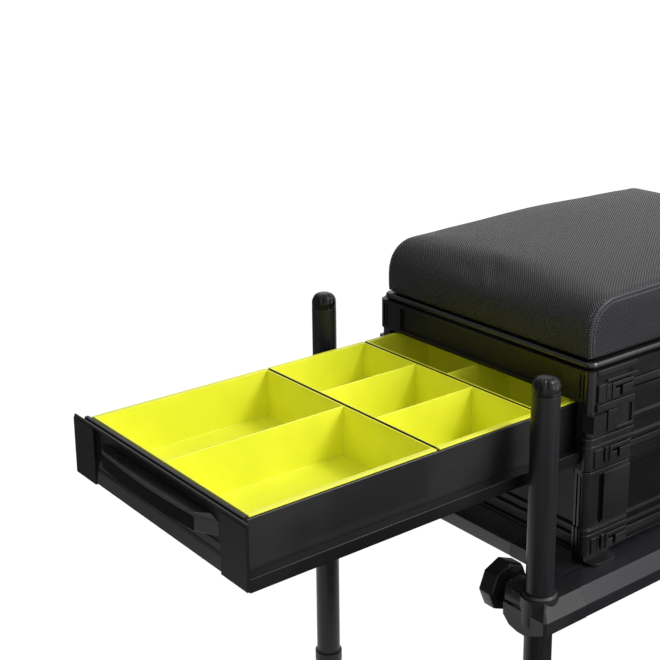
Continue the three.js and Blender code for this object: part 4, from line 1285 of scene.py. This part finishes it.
def make_camera():
    """The camera at the picture's own place, turn and framing."""
    azimuth, pitch, roll = (math.radians(v) for v in CAMERA_TURN)
    level = Vector((-math.sin(azimuth), math.cos(azimuth), 0))
    ahead = math.cos(pitch) * level - math.sin(pitch) * Vector((0, 0, 1))
    above = math.sin(pitch) * level + math.cos(pitch) * Vector((0, 0, 1))
    right = ahead.cross(above)
    right, above = (
        math.cos(roll) * right + math.sin(roll) * above,
        math.cos(roll) * above - math.sin(roll) * right,
    )
    lens = bpy.data.cameras.new("Picture camera")
    lens.sensor_width = SENSOR
    lens.lens = FOCUS / PICTURE * SENSOR
    lens.shift_x = 0.5 - PICTURE_CENTRE[0] / PICTURE
    lens.shift_y = PICTURE_CENTRE[1] / PICTURE - 0.5
    lens.clip_start = 0.01
    lens.clip_end = 200
    camera = bpy.data.objects.new("Picture camera", lens)
    camera.matrix_world = Matrix.Translation(CAMERA_PLACE) @ Matrix(
        (
            (right.x, above.x, -ahead.x, 0),
            (right.y, above.y, -ahead.y, 0),
            (right.z, above.z, -ahead.z, 0),
            (0, 0, 0, 1),
        )
    )
    bpy.context.scene.collection.objects.link(camera)
    bpy.context.scene.camera = camera


def seen_rays(tree):
    """1 for rays from the camera, or by way of gloss or glass, and 0 for the rest."""
    path = tree.nodes.new("ShaderNodeLightPath")
    seen = calculate(
        tree, "MAXIMUM", path.outputs["Is Camera Ray"], path.outputs["Is Transmission Ray"]
    )
    return calculate(tree, "MAXIMUM", seen, path.outputs["Is Glossy Ray"])


def split_by_ray(tree, share, unseen, seen, output):
    """Ends a tree with one shader for lighting and another, by a share, for rays that are seen."""
    mix = tree.nodes.new("ShaderNodeMixShader")
    out = tree.nodes.new(output)
    tree.links.new(share, mix.inputs["Fac"])
    tree.links.new(unseen.outputs[0], mix.inputs[1])
    tree.links.new(seen.outputs[0], mix.inputs[2])
    tree.links.new(mix.outputs[0], out.inputs["Surface"])


def make_world():
    """A world that lights the object softly and shows as white."""
    world = bpy.data.worlds.new("Pale room")
    world.use_nodes = True
    tree = world.node_tree
    tree.nodes.clear()
    soft = tree.nodes.new("ShaderNodeBackground")
    soft.inputs["Color"].default_value = WORLD_COLOUR
    soft.inputs["Strength"].default_value = WORLD_STRENGTH
    white = tree.nodes.new("ShaderNodeBackground")
    white.inputs["Color"].default_value = WHITE
    white.inputs["Strength"].default_value = 1.0
    split_by_ray(tree, seen_rays(tree), soft, white, "ShaderNodeOutputWorld")
    bpy.context.scene.world = world


def floor_material():
    """A pale floor that shows as white and keeps a soft shadow."""
    material = bpy.data.materials.new("Pale floor")
    material.use_nodes = True
    tree = material.node_tree
    tree.nodes.clear()
    matt = tree.nodes.new("ShaderNodeBsdfDiffuse")
    matt.inputs["Color"].default_value = FLOOR_GREY
    white = tree.nodes.new("ShaderNodeEmission")
    white.inputs["Color"].default_value = WHITE
    white.inputs["Strength"].default_value = 1.2
    share = calculate(tree, "MULTIPLY", seen_rays(tree), 0.82)
    split_by_ray(tree, share, matt, white, "ShaderNodeOutputMaterial")
    return material


def add_plane(name, corners, material):
    mesh = bpy.data.meshes.new(name)
    mesh.from_pydata([Vector(c) for c in corners], [], [(0, 1, 2, 3)])
    mesh.materials.append(material)
    plane = bpy.data.objects.new(name, mesh)
    bpy.context.scene.collection.objects.link(plane)
    return plane


def add_lamp(name, place, aim, size, power):
    lamp = bpy.data.lights.new(name, "AREA")
    lamp.shape = "RECTANGLE"
    lamp.size, lamp.size_y = size
    lamp.energy = power
    made = bpy.data.objects.new(name, lamp)
    made.location = place
    way = Vector(aim) - Vector(place)
    made.rotation_euler = way.to_track_quat("-Z", "Y").to_euler()
    bpy.context.scene.collection.objects.link(made)


def make_stage():
    r = FLOOR_REACH
    add_plane("Floor", [(-r, -r, 0), (r, -r, 0), (r, r, 0), (-r, r, 0)], floor_material())
    for name, (grey, corners) in CARDS.items():
        card = bpy.data.materials.new(name)
        card.use_nodes = True
        shader = card.node_tree.nodes["Principled BSDF"]
        shader.inputs["Base Color"].default_value = (grey, grey, grey, 1)
        shader.inputs["Roughness"].default_value = 0.9
        # Each card is seen only in reflections: a painted reflection, with no light or shadow of
        # its own.
        reflection_card = add_plane(name, corners, card)
        reflection_card.visible_camera = False
        reflection_card.visible_diffuse = False
        reflection_card.visible_shadow = False
        reflection_card.visible_transmission = False
    make_world()
    add_lamp("Top softbox", (1.15, 0.95, 2.2), (0, 0, 0.45), (0.9, 0.9), 36)
    add_lamp("Right softbox", (2.1, 0.7, 1.1), (0, 0, 0.45), (1.4, 1.2), 18)
    make_camera()


# ---------------------------------------------------------------- operators


class SEATBOX_OT_rails(bpy.types.Operator):
    """Dress the four rails of the frame"""

    bl_idname = "seatbox.rails"
    bl_label = "Rails"
    bl_options = {"REGISTER", "UNDO"}

    def execute(self, context):
        make_rails()
        return {"FINISHED"}


class SEATBOX_OT_castings(bpy.types.Operator):
    """Dress the corner castings"""

    bl_idname = "seatbox.castings"
    bl_label = "Castings"
    bl_options = {"REGISTER", "UNDO"}

    def execute(self, context):
        make_castings()
        return {"FINISHED"}


class SEATBOX_OT_knobs(bpy.types.Operator):
    """Dress the clamp knobs"""

    bl_idname = "seatbox.knobs"
    bl_label = "Knobs"
    bl_options = {"REGISTER", "UNDO"}

    def execute(self, context):
        make_knobs()
        return {"FINISHED"}


class SEATBOX_OT_legs(bpy.types.Operator):
    """Make the leg tubes and their caps"""

    bl_idname = "seatbox.legs"
    bl_label = "Legs"
    bl_options = {"REGISTER", "UNDO"}

    def execute(self, context):
        make_legs()
        return {"FINISHED"}


class SEATBOX_OT_feet(bpy.types.Operator):
    """Make the inner legs and the feet"""

    bl_idname = "seatbox.feet"
    bl_label = "Feet"
    bl_options = {"REGISTER", "UNDO"}

    def execute(self, context):
        make_feet()
        return {"FINISHED"}


class SEATBOX_OT_base(bpy.types.Operator):
    """Dress the base unit"""

    bl_idname = "seatbox.base"
    bl_label = "Base"
    bl_options = {"REGISTER", "UNDO"}

    def execute(self, context):
        make_base()
        return {"FINISHED"}


class SEATBOX_OT_unit(bpy.types.Operator):
    """Dress the drawer unit"""

    bl_idname = "seatbox.unit"
    bl_label = "Drawer unit"
    bl_options = {"REGISTER", "UNDO"}

    def execute(self, context):
        make_unit()
        return {"FINISHED"}


class SEATBOX_OT_latches(bpy.types.Operator):
    """Dress the slide latches"""

    bl_idname = "seatbox.latches"
    bl_label = "Latches"
    bl_options = {"REGISTER", "UNDO"}

    def execute(self, context):
        make_latches()
        return {"FINISHED"}


class SEATBOX_OT_drawer(bpy.types.Operator):
    """Dress the drawer, its panel and handle"""

    bl_idname = "seatbox.drawer"
    bl_label = "Drawer"
    bl_options = {"REGISTER", "UNDO"}

    def execute(self, context):
        make_drawer()
        return {"FINISHED"}


class SEATBOX_OT_inserts(bpy.types.Operator):
    """Dress the drawer inserts"""

    bl_idname = "seatbox.inserts"
    bl_label = "Inserts"
    bl_options = {"REGISTER", "UNDO"}

    def execute(self, context):
        make_inserts()
        return {"FINISHED"}


class SEATBOX_OT_seat(bpy.types.Operator):
    """Dress the seat tray, hinge and lid"""

    bl_idname = "seatbox.seat"
    bl_label = "Seat tray and lid"
    bl_options = {"REGISTER", "UNDO"}

    def execute(self, context):
        make_seat()
        return {"FINISHED"}


class SEATBOX_OT_cushion(bpy.types.Operator):
    """Fill the cushion and sew its seams"""

    bl_idname = "seatbox.cushion"
    bl_label = "Cushion"
    bl_options = {"REGISTER", "UNDO"}

    def execute(self, context):
        make_cushion()
        return {"FINISHED"}


class SEATBOX_OT_stage(bpy.types.Operator):
    """Make the floor, the lamps and the camera"""

    bl_idname = "seatbox.stage"
    bl_label = "Stage"
    bl_options = {"REGISTER", "UNDO"}

    def execute(self, context):
        make_stage()
        return {"FINISHED"}


OPERATORS = [
    SEATBOX_OT_rails,
    SEATBOX_OT_castings,
    SEATBOX_OT_knobs,
    SEATBOX_OT_legs,
    SEATBOX_OT_feet,
    SEATBOX_OT_base,
    SEATBOX_OT_unit,
    SEATBOX_OT_latches,
    SEATBOX_OT_drawer,
    SEATBOX_OT_inserts,
    SEATBOX_OT_seat,
    SEATBOX_OT_cushion,
    SEATBOX_OT_stage,
]


class SEATBOX_PT_panel(bpy.types.Panel):
    """Lists the steps that dress the seat box"""

    bl_idname = "SEATBOX_PT_panel"
    bl_label = "Seat box"
    bl_space_type = "VIEW_3D"
    bl_region_type = "UI"
    bl_category = "Seat box"

    def draw(self, context):
        layout = self.layout
        for settings in (context.scene.seat_box_sizes, context.scene.seat_box_colours):
            column = layout.column()
            for name in settings.__annotations__:
                column.prop(settings, name)
        for made in OPERATORS:
            layout.operator(made.bl_idname)


CLASSES = [SeatBoxColours, SeatBoxSizes, *OPERATORS, SEATBOX_PT_panel]


def register():
    for cls in CLASSES:
        bpy.utils.register_class(cls)
    bpy.types.Scene.seat_box_sizes = bpy.props.PointerProperty(type=SeatBoxSizes)
    bpy.types.Scene.seat_box_colours = bpy.props.PointerProperty(type=SeatBoxColours)


def unregister():
    del bpy.types.Scene.seat_box_sizes
    del bpy.types.Scene.seat_box_colours
    for cls in reversed(CLASSES):
        bpy.utils.unregister_class(cls)


def main():
    register()
    bpy.context.scene.view_settings.view_transform = "Standard"
    for made in OPERATORS:
        step = getattr(bpy.ops.seatbox, made.bl_idname.split(".")[1])
        if step() != {"FINISHED"}:
            raise RuntimeError(f"{made.bl_label} did not finish")
    bpy.context.view_layer.update()


if __name__ == "__main__":
    main()
